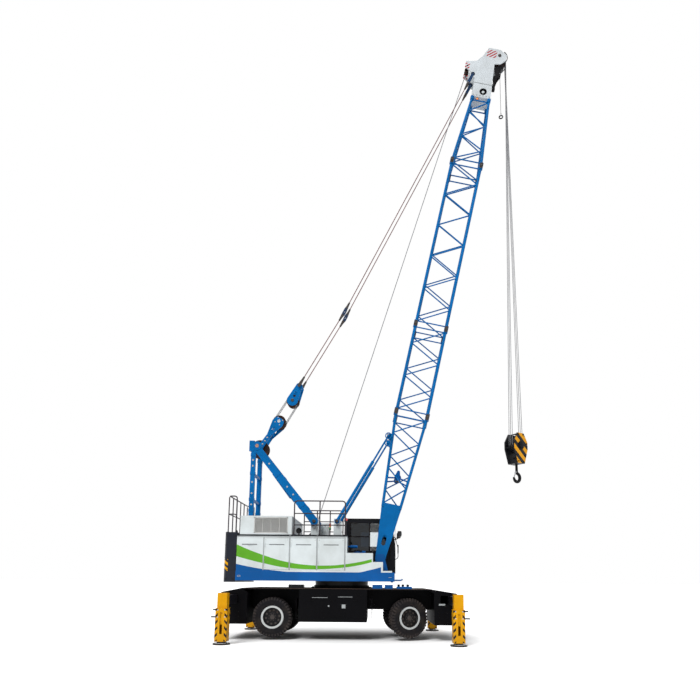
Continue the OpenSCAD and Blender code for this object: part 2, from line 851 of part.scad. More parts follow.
chord_r = chord_d / 2;
lace_r = lace_d / 2;
end_inset = 110;

// Corner of the boom at a station, with its half depth and half width running between two ends
function corner(t, i, s0, s1, a, b) =
  let (h = a + (b - a) * t)
  [(i == 0 || i == 3 ? -1 : 1) * h.x, (i < 2 ? -1 : 1) * h.y, s0 + (s1 - s0) * t];

// A lattice section: four chords, zigzag lacing on each side, and a frame near each end.
// a and b are the half depth and half width at its two ends.
module lattice(s0, s1, a, b, laces, chord_sides = 32) {
  t0 = end_inset / (s1 - s0);
  span = (1 - 2 * t0) / laces;
  for (i = [0 : 3])
    bar(corner(0, i, s0, s1, a, b), corner(1, i, s0, s1, a, b), chord_r, chord_sides);
  for (i = [0 : 3])
    for (k = [0 : laces - 1]) {
      from = k % 2 == 0 ? i : (i + 1) % 4;
      to = from == i ? (i + 1) % 4 : i;
      bar(corner(t0 + k * span, from, s0, s1, a, b), corner(t0 + (k + 1) * span, to, s0, s1, a, b), lace_r, 8);
    }
  for (i = [0 : 3])
    for (t = [t0, 1 - t0])
      bar(corner(t, i, s0, s1, a, b), corner(t, (i + 1) % 4, s0, s1, a, b), lace_r, 8);
}

// Thick collars where two sections are pinned together
module collars(s, a) {
  for (n = [-1, 1])
    for (y = [-1, 1])
      translate([n * a.x, y * a.y, s]) cylinder(r = chord_r + 24, h = 130, $fn = 32);
}

full = [boom_depth / 2, chord_y];
small = [310, 250];
narrow = [290, chord_y];
plate_s = 1750;
butt_s0 = plate_s - 100;
butt_s1 = butt_len - section_gap - 30;

// Place of the butt's rear chord, forward of the boom's axis, at a station
function butt_n(s) = -narrow.x - (full.x - narrow.x) * (s - butt_s0) / (butt_s1 - butt_s0);

module boom_butt() {
  color(blue)
    boom_frame()
      union() {
        lattice(butt_s0, butt_s1, narrow, full, 5, 12);
        collars(butt_len - 130 - section_gap, full);
        both_sides() {
          boom_plate(chord_y, plate_t)
            difference() {
              union() {
                polygon([[-165, 0], [165, 0], [narrow.x + chord_r, plate_s], [-narrow.x - chord_r, plate_s]]);
                circle(r = 165);
              }
              circle(r = foot_pin_r + run_gap);
              for (s = [470, 690])
                translate([-10, s]) circle(r = 70);
              translate([-80, 470]) square([140, 220]);
            }
          boom_plate(backstop_y - eye_half - run_gap - 30, 60)
            polygon([[butt_n(backstop_s - 210) + 15, backstop_s - 210],
                     [butt_n(backstop_s + 120) + 15, backstop_s + 120],
                     [backstop_n - 50, backstop_s + 50], [backstop_n - 50, backstop_s - 50]]);
          translate([backstop_n, backstop_y - 40, backstop_s])
            rotate([90, 0, 0])
              cylinder(r = 30, h = 170, center = true);
        }
      }
}

module boom_insert_1() {
  color(blue)
    boom_frame()
      union() {
        lattice(joint1, joint2 - section_gap, full, full, 5);
        collars(joint1, full);
        collars(joint2 - 130 - section_gap, full);
      }
}

module boom_insert_2() {
  color(blue)
    boom_frame()
      union() {
        lattice(joint2, joint3 - section_gap, full, full, 10);
        collars(joint2, full);
        collars(joint3 - 130 - section_gap, full);
      }
}

module boom_top() {
  color(blue)
    boom_frame()
      union() {
        lattice(joint3 + 20, head_s - section_gap - 20, full, small, 5, 12);
        collars(joint3, full);
        collars(head_s - section_gap - 130, small);
      }
}

module head_outline() {
  polygon([[-350, 0], [360, 0], [305, 610], [230, 1500], [440, 1545], [600, 1720], [620, 1950], [350, 2130],
           [-100, 2130], [-250, 1750], [-450, 1480], [guide_n - 90, 1400], [guide_n - 90, 1180],
           [lug_n - 110, 1000], [lug_n - 110, 830], [-380, 760]]);
}

module boom_head() {
  color("#E6ECF0")
    boom_frame()
      difference() {
        union() {
          both_sides()
            translate([0, 0, head_s]) boom_plate(lug_y, plate_t) head_outline();
          block([-370, -290, head_s], [380, 290, head_s + 30]);
          block([-330, -lug_y, head_s + 200], [-290, lug_y, head_s + 700]);
          block([205, -lug_y, head_s + 100], [245, lug_y, head_s + 900]);
          block([-90, -lug_y, head_s + 2060], [90, lug_y, head_s + 2100]);
        }
        cross_pin([sheave_n, 0, sheave_s], shaft_r + seat, 1000);
        cross_pin([guide_n, 0, guide_s], 25 + seat, 1000);
        cross_pin([lug_n, 0, lug_s], 40, 1000);
        cross_pin([35, 0, head_s + 270], 105, 1000);
      }
}

module head_sheaves() {
  color(grey)
    boom_frame()
      union() {
        translate([sheave_n, 0, sheave_s]) rotate([90, 0, 0]) {
          cylinder(r = shaft_r, h = 2 * lug_y + 80, center = true);
          for (y = [-105, -35, 35, 105])
            translate([0, 0, y]) cylinder(r = sheave_r, h = 56, center = true);
          cylinder(r = 90, h = 300, center = true);
        }
        translate([guide_n, 0, guide_s]) rotate([90, 0, 0]) {
          cylinder(r = 25, h = 2 * lug_y + 60, center = true);
          cylinder(r = 75, h = 200, center = true);
        }
      }
}

link_y = 185;
link_t = 30;

module bail() {
  reach = bail_at - apex;
  color(blue)
    difference() {
      union() {
        both_sides()
          translate([0, link_y, 0]) {
            flat_bar(apex, bail_at, 130, link_t);
            cross_pin(apex, 95, link_t + 8);
            tapered_plate(apex + 0.45 * reach, apex + 0.93 * reach, 120, 400, link_t - 6);
            tapered_plate(apex + 0.92 * reach, apex + 1.1 * reach, 390, 300, link_t - 10);
            cross_pin(bail_at, 120, link_t + 8);
          }
        cross_pin(bail_at, 50, 2 * link_y + 80);
        for (y = [-105, -35, 35, 105])
          translate([0, y, 0]) cross_pin(bail_at, 220, 56);
        cross_pin(bail_at, 110, 320);
      }
      cross_pin(apex, shaft_r + run_gap, 2 * house_y);
    }
}

pendant_r = 18;

module pendants() {
  run = (lug_at - middle_at) / norm(lug_at - middle_at);
  reach = yoke_at - block_at;
  color("#7A6464")
    union() {
      both_sides() {
        translate([0, link_y, 0]) {
          flat_bar(block_at, yoke_at, 150, link_t);
          tapered_plate(block_at + 0.05 * reach, block_at + 0.8 * reach, 390, 140, link_t - 6);
          tapered_plate(block_at - 0.25 * reach, block_at + 0.06 * reach, 280, 380, link_t - 10);
          cross_pin(block_at, 120, link_t + 8);
          cross_pin(yoke_at, 110, link_t + 8);
        }
        translate([0, lug_y, 0]) {
          cross_pin(yoke_at, 80, 70);
          bar(yoke_at, middle_at, pendant_r, 24);
          cross_pin(middle_at, 60, 60);
          bar(middle_at, lug_at - 410 * run, pendant_r, 24);
          block_fork(lug_at, run);
        }
      }
      cross_pin(block_at, 50, 2 * link_y + 80);
      cross_pin(yoke_at, 50, 2 * lug_y);
      for (y = [-105, -35, 35, 105])
        translate([0, y, 0]) cross_pin(block_at, 210, 56);
      cross_pin(block_at, 110, 320);
    }
}

// A fork whose two plates lie on either side of the head's lug
module block_fork(at, run) {
  inner = plate_t / 2 + run_gap;
  flat_bar(at - 430 * run, at - 350 * run, 100, 2 * inner + 50);
  for (y = [-1, 1])
    translate([0, y * (inner + 10), 0]) flat_bar(at - 370 * run, at + 60 * run, 90, 20);
}

roller_r = 42;
roller_off = roller_r + rope_r + run_gap;

module rope_guide() {
  color(grey)
    difference() {
      union() {
        both_sides() translate([0, 67, 0]) cross_pin(rope_base, 120, 22);
        for (side = [-1, 1])
          translate(side * roller_off * [rope_run.z, 0, -rope_run.x]) cross_pin(rope_base, roller_r, 114);
      }
      both_sides() translate([0, 100, 0]) cross_pin(rope_base, guide_pin_r + run_gap, 84);
    }
}

rope_tail = 1150;

module hoist_line() {
  color(grey)
    bar(rope_base - rope_tail * rope_run, guide_at - 170 * rope_run, rope_r, 12);
}

module limit_weight() {
  drop = sheave_at.z - 18820;
  at = [sheave_at.x, -195, sheave_at.z];
  color(dark)
    difference() {
      union() {
        cross_pin(at, 72, 18);
        translate(at - [0, 0, drop]) cylinder(r = 9, h = drop - 60);
        translate(at - [0, 0, drop + 150]) cylinder(r = 75, h = 160);
      }
      cross_pin(at, shaft_r + run_gap, 200);
    }
}

block_turn = 35;
fall_r = 10;

// Six falls of rope from the head's sheaves to the two sides of the block's sheaves
module hoist_falls() {
  top_x = sheave_at.x + sheave_r + fall_r + seat;
  color(grey)
    for (i = [0 : 2])
      for (side = [-1, 1]) {
        spot = [side * (240 + fall_r + seat), (i - 1) * 75];
        low = [block_x + spot.x * cos(block_turn) - spot.y * sin(block_turn),
               spot.x * sin(block_turn) + spot.y * cos(block_turn), block_z + 60];
        bar([top_x, side * 70 + (i - 1) * 45, sheave_at.z], low, fall_r, 8);
      }
}

cheek_t = 50;
cheek_y = 170;

module block_outline() {
  polygon([[-150, 480], [150, 480], [330, 180], [330, -60], [170, -560], [-170, -560], [-330, -60],
           [-330, 180]]);
}

module hook_block() {
  color(amber)
    translate([block_x, 0, block_z])
      rotate([0, 0, block_turn])
        difference() {
          union() {
            both_sides()
              translate([0, cheek_y + cheek_t, 0]) rotate([90, 0, 0]) linear_extrude(cheek_t) block_outline();
            for (y = [-75, 0, 75])
              cross_pin([0, y, 60], 240, 60);
            cross_pin([0, 0, 60], 80, 2 * (cheek_y + cheek_t) + 60);
            block([-150, -cheek_y - 1, -560], [150, cheek_y + 1, -420]);
          }
          translate([0, 0, -600]) cylinder(r = hook_shank_r + turn_gap, h = 300);
        }
}

hook_shank_r = 45;
hook_ring = 145;
hook_r = 52;

module hook() {
  bowl_z = block_z - 560 - 460;
  color("#3A3A3E")
    translate([block_x, 0, 0])
      rotate([0, 0, block_turn + 180]) {
        union() {
          translate([0, 0, bowl_z + hook_ring - 20])
            cylinder(r = hook_shank_r, h = block_z - 310 - bowl_z - hook_ring + 20);
          translate([0, 0, block_z - 420 + run_gap]) cylinder(r = 100, h = 80);
          translate([0, 0, bowl_z])
            rotate([90, 0, 0])
              rotate([0, 0, 90])
                rotate_extrude(angle = 270, $fn = 64)
                  translate([hook_ring, 0]) circle(r = hook_r);
        }
      }
}

carrier_frame();
slew_ring();
front_axle();
rear_axle();
deck_fittings();
tow_jaws();
beam(true, -1);  // beam_front_right
beam(true, 1);  // beam_front_left
beam(false, -1);  // beam_rear_right
beam(false, 1);  // beam_rear_left
jack(true, -1);  // jack_front_right
jack(true, 1);  // jack_front_left
jack(false, -1);  // jack_rear_right
jack(false, 1);  // jack_rear_left
knuckle(-1);  // knuckle_right
knuckle(1);  // knuckle_left
tyre(true, -1);  // tyre_front_right
tyre(true, 1);  // tyre_front_left
tyre(false, -1);  // tyre_rear_right
tyre(false, 1);  // tyre_rear_left
rim(true, -1);  // rim_front_right
rim(true, 1);  // rim_front_left
rim(false, -1);  // rim_rear_right
rim(false, 1);  // rim_rear_left
turntable_frame();
counterweight();
house_shell();
house_roof();
house_door(0);  // house_door_1
house_door(1);  // house_door_2
house_door(2);  // house_door_3
cooler_box();
cooler_grille();
step_covers();
power_block();
winches();
railings();
signal_lights();
gantry();
gantry_sheaves();
cab_shell();
cab_glass();
cab_door();
cab_seat();
backstop_barrels();
backstop_rods();
boom_butt();
boom_insert_1();
boom_insert_2();
boom_top();
boom_head();
head_sheaves();
bail();
pendants();
rope_guide();
hoist_line();
limit_weight();
hoist_falls();
hook_block();
hook();
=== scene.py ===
import math

import bmesh
import bpy
from mathutils import Matrix, Vector


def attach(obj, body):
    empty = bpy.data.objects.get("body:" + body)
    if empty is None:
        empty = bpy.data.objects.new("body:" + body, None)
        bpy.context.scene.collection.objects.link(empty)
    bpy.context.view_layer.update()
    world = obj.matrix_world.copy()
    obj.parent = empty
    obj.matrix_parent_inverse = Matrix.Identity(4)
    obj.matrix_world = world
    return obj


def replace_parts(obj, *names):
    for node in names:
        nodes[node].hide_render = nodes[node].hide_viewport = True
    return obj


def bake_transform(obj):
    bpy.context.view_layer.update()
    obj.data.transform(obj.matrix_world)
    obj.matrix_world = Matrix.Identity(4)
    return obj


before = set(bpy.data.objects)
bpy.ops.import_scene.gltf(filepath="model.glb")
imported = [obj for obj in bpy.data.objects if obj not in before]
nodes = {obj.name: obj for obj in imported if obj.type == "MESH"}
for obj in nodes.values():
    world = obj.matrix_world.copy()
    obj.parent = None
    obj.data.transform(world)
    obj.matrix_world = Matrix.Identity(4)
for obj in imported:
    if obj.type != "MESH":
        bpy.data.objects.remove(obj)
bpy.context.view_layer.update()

# Colours as they show, in hexadecimal
BLUE = "#0669AE"
DEEP_BLUE = "#04579F"
GREEN = "#62AC2C"
WHITE = "#DCE4E6"
NAVY = "#1E222C"
BLACK = "#121218"
AMBER = "#E2A100"
RED = "#B3202C"
HEAD_WHITE = "#D3DADF"
CLEAN = [1, 1, 1, 1]

# The machine's own places, in metres
X, Y, UP = Vector((1, 0, 0)), Vector((0, 1, 0)), Vector((0, 0, 1))
SIDES = (-1, 1)
FOOT = Vector((1.26, 0, 2.54))
LEAN = math.radians(78)
ALONG = Vector((math.cos(LEAN), 0, math.sin(LEAN)))
OUT = Vector((math.sin(LEAN), 0, -math.cos(LEAN)))
APEX = Vector((-2.83, 0, 6.17))
BAIL = Vector((-2.205, 0, 7.12))
UPPER_BLOCK = Vector((-1.77, 0, 7.86))
YOKE = Vector((-1.55, 0, 8.36))
MIDDLE = Vector((-0.04, 0, 11.03))
HEAD_S = 17.25
SHEAVE = FOOT + ALONG * (HEAD_S + 1.89) + OUT * 0.353
LUG = FOOT + ALONG * (HEAD_S + 0.917) - OUT * 0.478
GUIDE = FOOT + ALONG * (HEAD_S + 1.22) - OUT * 0.736
ROPE_BASE = Vector((-0.99, 0, 3.25))
BLOCK = Vector((5.844716, 0, 6.3))
BLOCK_TURN = math.radians(35)
BLOCK_X = Matrix.Rotation(BLOCK_TURN, 3, "Z") @ X
BLOCK_Y = Matrix.Rotation(BLOCK_TURN, 3, "Z") @ Y
SHEAVE_YS = (-0.105, -0.035, 0.035, 0.105)
TIE_Y = 0.25
HOUSE_Y = 1.4
RAIL_Y = 1.3
ROOF, WEIGHT_TOP = 3.19, 3.255
DOORS = (-2.342, -1.538, -0.697, 0.163)
CAB_Y0, CAB_Y1, CAB_Z1 = 0.6, 1.45, 3.9
FLOOR_Z, SEAT_Y = 2.095, 1.025
JACK_Y = 2.6
WHEELS = ("front_right", "front_left", "rear_right", "rear_left")
# Each outrigger's name, the way it lies along and across the carrier, and its foot's place along it
OUTRIGGERS = [(f"{end}_{hand}", sign, side, sign * 3.33 - side * 0.125)
              for end, sign in (("front", 1), ("rear", -1)) for hand, side in (("right", -1), ("left", 1))]
AXIS = 0.0005  # the least radius of a turned form, where its profile meets the axis
ROPE_LAY = 7.0  # length of one turn of a rope's strands, in diameters


def on_boom(s, n, y=0.0):
    return FOOT + ALONG * s + OUT * n + Y * y


def on_block(x, y, z):
    return BLOCK + BLOCK_X * x + BLOCK_Y * y + UP * z


def wheel_place(name):
    """Centre and outward axis of a wheel."""
    side = -1 if "right" in name else 1
    if "rear" in name:
        return Vector((-2.04, side * 1.1, 0.68)), Y * side
    axis = Matrix.Rotation(math.radians(22), 3, "Z") @ (Y * side)
    return Vector((2.04, side * 0.9, 0.68)) + axis * 0.2, axis


def rgba(text):
    """A hexadecimal colour as the linear values that shaders take."""
    parts = [int(text[i:i + 2], 16) / 255 for i in (1, 3, 5)]
    return [p / 12.92 if p <= 0.04045 else ((p + 0.055) / 1.055) ** 2.4 for p in parts] + [1.0]


def lighter(colour, gain, lift):
    return [min(1.0, c * gain + lift) for c in colour[:3]] + [1.0]


class Value:
    """A shader socket that takes part in sums. A comparison gives 1 where it holds and 0 elsewhere."""

    def __init__(self, shader, socket):
        self.shader, self.socket = shader, socket

    def __add__(self, other):
        return self.shader.math("ADD", self, other)

    def __sub__(self, other):
        return self.shader.math("SUBTRACT", self, other)

    def __rsub__(self, other):
        return self.shader.math("SUBTRACT", other, self)

    def __mul__(self, other):
        return self.shader.math("MULTIPLY", self, other)

    def __pow__(self, other):
        return self.shader.math("POWER", self, other)

    def __gt__(self, other):
        return self.shader.math("GREATER_THAN", self, other)

    def __lt__(self, other):
        return self.shader.math("LESS_THAN", self, other)

    def __abs__(self):
        return self.shader.math("ABSOLUTE", self)

    def within(self, low, high):
        return (self > low) * (self < high)

    def stripes(self, pitch, share):
        """1 on the dark bands of a pattern that repeats along the value."""
        return self.shader.math("FRACT", self.shader.math("DIVIDE", self, pitch)) < share

    def band(self, low, high):
        """Runs from 0 to 1 as the value goes from low to high."""
        return self.shader.add("ShaderNodeMapRange", {"Value": self, "From Min": low, "From Max": high},
                               interpolation_type="SMOOTHSTEP")


class Shader:
    """A material under construction: its methods add nodes and give their output as a Value."""

    def __init__(self, name):
        self.material = bpy.data.materials.new(name)
        self.material.use_nodes = True
        self.tree = self.material.node_tree
        self.bsdf = self.tree.nodes["Principled BSDF"]
        self.place = self.add("ShaderNodeTexCoord", {}, "Object")
        self.normal = self.add("ShaderNodeNewGeometry", {}, "True Normal")

    def add(self, kind, inputs, output=0, **settings):
        made = self.tree.nodes.new(kind)
        for key, value in settings.items():
            setattr(made, key, value)
        for key, value in inputs.items():
            self.put(made.inputs[key], value)
        return Value(self, made.outputs[output])

    def put(self, socket, value):
        if isinstance(value, Value):
            self.tree.links.new(value.socket, socket)
        else:
            socket.default_value = value

    def math(self, operation, *values, clamp=False):
        return self.add("ShaderNodeMath", dict(enumerate(values)), operation=operation, use_clamp=clamp)

    def vector(self, operation, *values):
        output = "Value" if operation in ("DOT_PRODUCT", "LENGTH") else "Vector"
        return self.add("ShaderNodeVectorMath", dict(enumerate(values)), output, operation=operation)

    def axes(self, vector):
        made = self.add("ShaderNodeSeparateXYZ", {0: vector})
        return [Value(self, output) for output in made.socket.node.outputs]

    def noise(self, scale, stretch=(1, 1, 1), detail=4.0):
        spot = self.vector("MULTIPLY", self.place, stretch)
        return self.add("ShaderNodeTexNoise", {"Vector": spot, "Scale": scale, "Detail": detail, "Roughness": 0.55})

    def mix(self, share, first, second, blend="MIX"):
        return self.add("ShaderNodeMix", {0: share, 6: first, 7: second}, 2, data_type="RGBA", blend_type=blend)

    def curve(self, value, points):
        """A smooth curve through points whose values lie between 0 and 1."""
        made = self.add("ShaderNodeFloatCurve", {"Value": value})
        mapping = made.socket.node.mapping
        curve = mapping.curves[0]
        for x, y in points[1:-1]:
            curve.points.new(x, y)
        curve.points[0].location = points[0]
        curve.points[-1].location = points[-1]
        mapping.update()
        return made

    def edges(self, radius):
        """1 along an object's sharp edges, 0 away from them."""
        rounded_normal = self.add("ShaderNodeBevel", {"Radius": radius}, samples=4)
        return self.vector("DOT_PRODUCT", rounded_normal, self.normal).band(0.985, 0.9)

    def bump(self, height, distance):
        self.set(Normal=self.add("ShaderNodeBump", {"Distance": distance, "Strength": 0.5, "Height": height}))

    def set(self, **values):
        for key, value in values.items():
            self.put(self.bsdf.inputs[key.replace("_", " ")], value)
        return self.material


def worn(shader, colour, dust=0.3, chips=0.5, gloss=0.36, shine=0.18, high_z=1.6):
    """Paint with mottling, run-down streaks, dust on upper faces and below high_z, and chipped edges."""
    patches = shader.noise(1.3, detail=6.0)
    streaks = shader.noise(2.2, stretch=(6, 6, 0.5))
    specks = shader.noise(60, detail=2.0)
    shade = shader.mix(patches.band(0.72, 0.3), colour, rgba("#E9E8E6"), "MULTIPLY")
    upward = shader.axes(shader.normal)[2].band(0.4, 0.95)
    settled = shader.math("MAXIMUM", upward, shader.axes(shader.place)[2].band(high_z, 0.0))
    grimy = settled * patches.band(0.3, 0.75) + streaks.band(0.58, 0.8) * 0.5
    grimy = shader.math("MULTIPLY", grimy, dust, clamp=True)
    shade = shader.mix(grimy, shade, rgba("#3A342C"))
    shade = shader.mix(shader.edges(0.006) * specks.band(0.5, 0.62) * chips, shade, rgba("#77736E"))
    rough = grimy * 0.5 + gloss + specks.band(0.3, 0.7) * 0.08
    shader.bump(patches * 0.6 + specks * 0.25, 0.002)
    return shader.set(Base_Color=shade, Roughness=rough, Coat_Weight=shine * 0.2, Coat_Roughness=0.15,
                      Specular_IOR_Level=shine)


def paint(name, colour, **wear):
    return worn(Shader(name), rgba(colour), **wear)


def layered(name, axis, layers, **wear):
    """Paint whose colour changes along an axis: (start, colour) pairs, the first from anywhere."""
    shader = Shader(name)
    place = shader.axes(shader.place)["xyz".index(axis[-1])]
    if axis.startswith("|"):
        place = abs(place)
    colour = rgba(layers[0][1])
    for start, text in layers[1:]:
        colour = shader.mix(place > start, colour, rgba(text))
    return worn(shader, colour, **wear)


def house_paint(name):
    """White panels with a green stripe that dips in the middle, and blue that rises at both ends."""
    shader = Shader(name)
    x, _, z = shader.axes(shader.place)
    rear, length, base = -3.2, 5.0, 2.0
    along = shader.math("DIVIDE", x - rear, length, clamp=True)

    def height(points):
        return shader.curve(along, [((px - rear) / length, pz - base) for px, pz in points]) + base

    top = height([(-3.2, 2.89), (-2.38, 2.569), (-1.553, 2.34), (-0.925, 2.26), (-0.34, 2.252),
                  (0.127, 2.29), (0.559, 2.357), (0.98, 2.455), (1.8, 2.7)])
    bottom = height([(-3.2, 2.525), (-2.373, 2.316), (-1.547, 2.167), (-0.922, 2.132), (-0.338, 2.149),
                     (0.129, 2.192), (0.56, 2.259), (0.98, 2.362), (1.8, 2.6)])
    swoosh = height([(-3.2, 2.29), (-2.366, 2.133), (-1.936, 2.085), (-1.5, 2.045), (-0.3, 2.02),
                     (0.5, 2.04), (0.935, 2.126), (1.27, 2.212), (1.8, 2.36)])
    aside = abs(shader.axes(shader.normal)[1]) > 0.5
    colour = shader.mix((z < top) * (z > bottom) * aside * (x < 0.985), rgba(WHITE), rgba(GREEN))
    colour = shader.mix((z < swoosh) * aside * (x < 1.27), colour, rgba(DEEP_BLUE))
    return worn(shader, colour, dust=0.14, chips=0.35, gloss=0.32)


def jack_paint(name, foot_x):
    """Yellow with rows of slanted black marks down the two edges of each face, and a dark foot."""
    shader = Shader(name)
    x, y, z = shader.axes(shader.place)
    facing = abs(shader.axes(shader.normal)[1]) > 0.5
    across = facing * abs(x - foot_x) + (1.0 - facing) * abs(abs(y) - JACK_Y)
    dark = (z + across).stripes(0.18, 0.42) * (across > 0.092) * z.within(0.1, 1.0)
    colour = shader.mix(dark, rgba(AMBER), rgba(BLACK))
    colour = shader.mix(z < 0.091, colour, rgba("#2A2622"))
    return worn(shader, colour, dust=0.25, high_z=0.7)


def counterweight_paint(name):
    """Near-black with yellow slanted marks on the outer edges of the sides."""
    shader = Shader(name)
    x, y, z = shader.axes(shader.place)
    inside = z.within(2.06, 2.42) * ((x < -3.42) * (abs(y) > 1.22))
    colour = shader.mix((z + x * 0.8).stripes(0.17, 0.5) * inside, rgba(NAVY), rgba(AMBER))
    return worn(shader, colour, dust=0.12, chips=0.4, gloss=0.42)


def head_paint(name):
    """White with a red and white hatched patch near the top and on the rear ear."""
    shader = Shader(name)
    x, _, z = shader.axes(shader.place)
    along = (x - FOOT.x) * ALONG.x + (z - FOOT.z) * ALONG.z
    out = (x - FOOT.x) * OUT.x + (z - FOOT.z) * OUT.z
    patch = along.within(19.0, 19.3) * out.within(-0.12, 0.24)
    ear = along.within(18.36, 18.58) * (out < -0.66)
    marked = shader.math("MAXIMUM", patch, ear) * (along - out * 0.9).stripes(0.13, 0.45)
    colour = shader.mix(marked, rgba(HEAD_WHITE), rgba(RED))
    return worn(shader, colour, dust=0.12, chips=0.3, gloss=0.34)


def block_paint(name):
    """Yellow and black diagonal stripes on the cheeks of the hook block, black elsewhere."""
    shader = Shader(name)
    spot = shader.vector("SUBTRACT", shader.place, BLOCK)
    across = shader.vector("DOT_PRODUCT", spot, BLOCK_X)
    height = shader.axes(spot)[2]
    cheek = abs(shader.vector("DOT_PRODUCT", shader.normal, BLOCK_Y)) > 0.5
    outer = abs(shader.vector("DOT_PRODUCT", spot, BLOCK_Y)) > 0.2
    boss = across ** 2 + (height - 0.06) ** 2 < 0.018
    yellow = (height + across * 0.85).stripes(0.36, 0.5) * cheek * outer * (1.0 - boss)
    colour = shader.mix(yellow, rgba("#17181C"), rgba("#F0A81E"))
    return worn(shader, colour, dust=0.25, chips=0.6, gloss=0.4)


def rim_paint(name, centre, axis):
    """A white flange round a black disc."""
    shader = Shader(name)
    spot = shader.vector("SUBTRACT", shader.place, centre)
    depth = shader.vector("DOT_PRODUCT", spot, axis)
    flange = shader.vector("LENGTH", spot) ** 2 - depth ** 2 > 0.284 ** 2
    colour = shader.mix(flange * (depth > 0.0), rgba("#141417"), rgba("#D5DADB"))
    return worn(shader, colour, dust=0.35, chips=0.4, gloss=0.38, high_z=1.3)


def rubber(name, colour, dust):
    shader = Shader(name)
    grain = shader.noise(140, detail=3.0)
    patches = shader.noise(3.0, detail=6.0)
    shade = shader.mix(patches.band(0.42, 0.75) * 0.4, rgba(colour), rgba(dust))
    shader.bump(grain * 0.4 + patches * 0.6, 0.003)
    return shader.set(Base_Color=shade, Roughness=patches * 0.2 + 0.68, Specular_IOR_Level=0.2)


def metal(name, colour, rough, stained, stain="#3B2A20"):
    """Bare steel with turned or rolled grain and brown stains."""
    shader = Shader(name)
    grain = shader.noise(220, stretch=(1, 1, 0.2), detail=2.0)
    patches = shader.noise(5.0, detail=6.0)
    share = patches.band(0.45, 0.75) * stained
    shader.bump(grain * 0.5 + patches, 0.001)
    return shader.set(Base_Color=shader.mix(share, rgba(colour), rgba(stain)), Roughness=share * 0.4 + rough,
                      Metallic=0.9 - share * 0.7)


def plastic(name, colour):
    """Moulded plastic with a fine grain and uneven sheen."""
    shader = Shader(name)
    patches = shader.noise(2.5, detail=5.0)
    shade = shader.mix(patches.band(0.3, 0.75), rgba(colour), lighter(rgba(colour), 1.25, 0.006))
    shader.bump(shader.noise(160, detail=2.0), 0.001)
    return shader.set(Base_Color=shade, Roughness=patches * 0.2 + 0.4)


def cloth(name, colour):
    """Woven seat cover."""
    shader = Shader(name)
    x, y, z = shader.axes(shader.place)
    weave = shader.math("SINE", (x + z) * 900.0) * shader.math("SINE", y * 900.0)
    patches = shader.noise(6.0, detail=5.0)
    shade = shader.mix(weave * 0.3 + patches, rgba(colour), lighter(rgba(colour), 1.5, 0.01))
    shader.bump(weave, 0.001)
    return shader.set(Base_Color=shade, Roughness=0.9, Sheen_Weight=0.3)


def glass(name, dark, pale, low_x, high_x):
    """Pane tinted dark, a painted shade of the cab's inside, with a film of dust; clear from one place along the cab
    to another, where light shows through the cab.
    """
    shader = Shader(name)
    film = shader.noise(3.0, detail=6.0)
    along = shader.axes(shader.place)[0]
    # Outside this band the pane's colour is dark, painted shade of the cab's inside, and the dust film over it is
    # darker there too
    clear = along.band(low_x - 0.004, low_x + 0.004) - along.band(high_x - 0.004, high_x + 0.004)
    painted_shade_tint = shader.mix(clear, rgba(dark), rgba(pale))
    dust_film_over_painted_shade = shader.mix(clear, rgba("#56646B"), rgba("#F2F6F7"))
    return shader.set(Base_Color=shader.mix(film.band(0.3, 0.9), painted_shade_tint, dust_film_over_painted_shade), Roughness=film.band(0.4, 0.9) * 0.06,
                      Transmission_Weight=0.97, IOR=1.45, Specular_IOR_Level=0.15)


def lens(name, colour):
    """Moulded lamp lens with prismatic ribs."""
    shader = Shader(name)
    shade = shader.mix(shader.noise(40.0), rgba(colour), lighter(rgba(colour), 1.3, 0.02))
    shader.bump(shader.math("SINE", shader.axes(shader.place)[2] * 420.0), 0.002)
    return shader.set(Base_Color=shade, Roughness=0.2, Coat_Weight=0.6)


BLUE_PAINT = paint("blue_paint", BLUE, dust=0.1, chips=0.4, shine=0.1)
DEEP_PAINT = paint("deep_blue_paint", DEEP_BLUE, dust=0.12, chips=0.4, shine=0.1)
HOUSE_PAINT = house_paint("house_paint")
PLAIN_WHITE = paint("white_paint", WHITE, dust=0.14, chips=0.35)
BLACK_PAINT = paint("black_paint", "#0B0B0F", dust=0.06, chips=0.3, gloss=0.45, shine=0.12)
CARRIER_PAINT = paint("carrier_paint", "#07070A", dust=0.03, chips=0.2, gloss=0.5, shine=0.06)
FRAME_PAINT = layered("frame_paint", "z", [(0, "#0C0C10"), (1.78, DEEP_BLUE), (3.15, WHITE)], dust=0.16, chips=0.4)
FITTING_PAINT = layered("fitting_paint", "x", [(0, "#0C0C10"), (0, DEEP_BLUE)], dust=0.2, chips=0.4)
BEAM_PAINT = layered("beam_paint", "|y", [(0, "#111015"), (2.46, AMBER)], dust=0.2, high_z=0.9)
PALE_TRIM = paint("pale_trim", "#A9AEB0", dust=0.2, chips=0.2)
HANDLE_PAINT = paint("handle_paint", "#85898C", dust=0.2, chips=0.3)
TIE_PAINT = paint("tie_paint", "#17385E", dust=0.2)
COPPER = metal("copper_pin", "#A9836F", 0.4, 0.3)
PALE_BLUE = paint("pale_blue_paint", "#5F90C2", dust=0.16, chips=0.4)
EDGE_PAINT = paint("edge_paint", "#4A3B34")
RAIL_PAINT = paint("rail_paint", "#3C363B", dust=0.2, gloss=0.4)
CAB_PAINT = paint("cab_paint", "#101218", dust=0.04, chips=0.25, shine=0.12)
ROOF_PAINT = paint("roof_paint", "#1C1E23", dust=0.2, chips=0.3, gloss=0.55)
WEIGHT_PAINT = counterweight_paint("counterweight_paint")
HEAD_PAINT = head_paint("head_paint")
RUBBER = rubber("rubber", "#131215", "#453E38")
TREAD_RUBBER = rubber("tread_rubber", "#2B2829", "#5A5048")
DARK_STEEL = metal("dark_steel", "#4A4644", 0.42, 0.6)
BRIGHT_STEEL = metal("bright_steel", "#B9BABC", 0.25, 0.15)
ROPE_STEEL = metal("rope_steel", "#8E8F92", 0.45, 0.35)
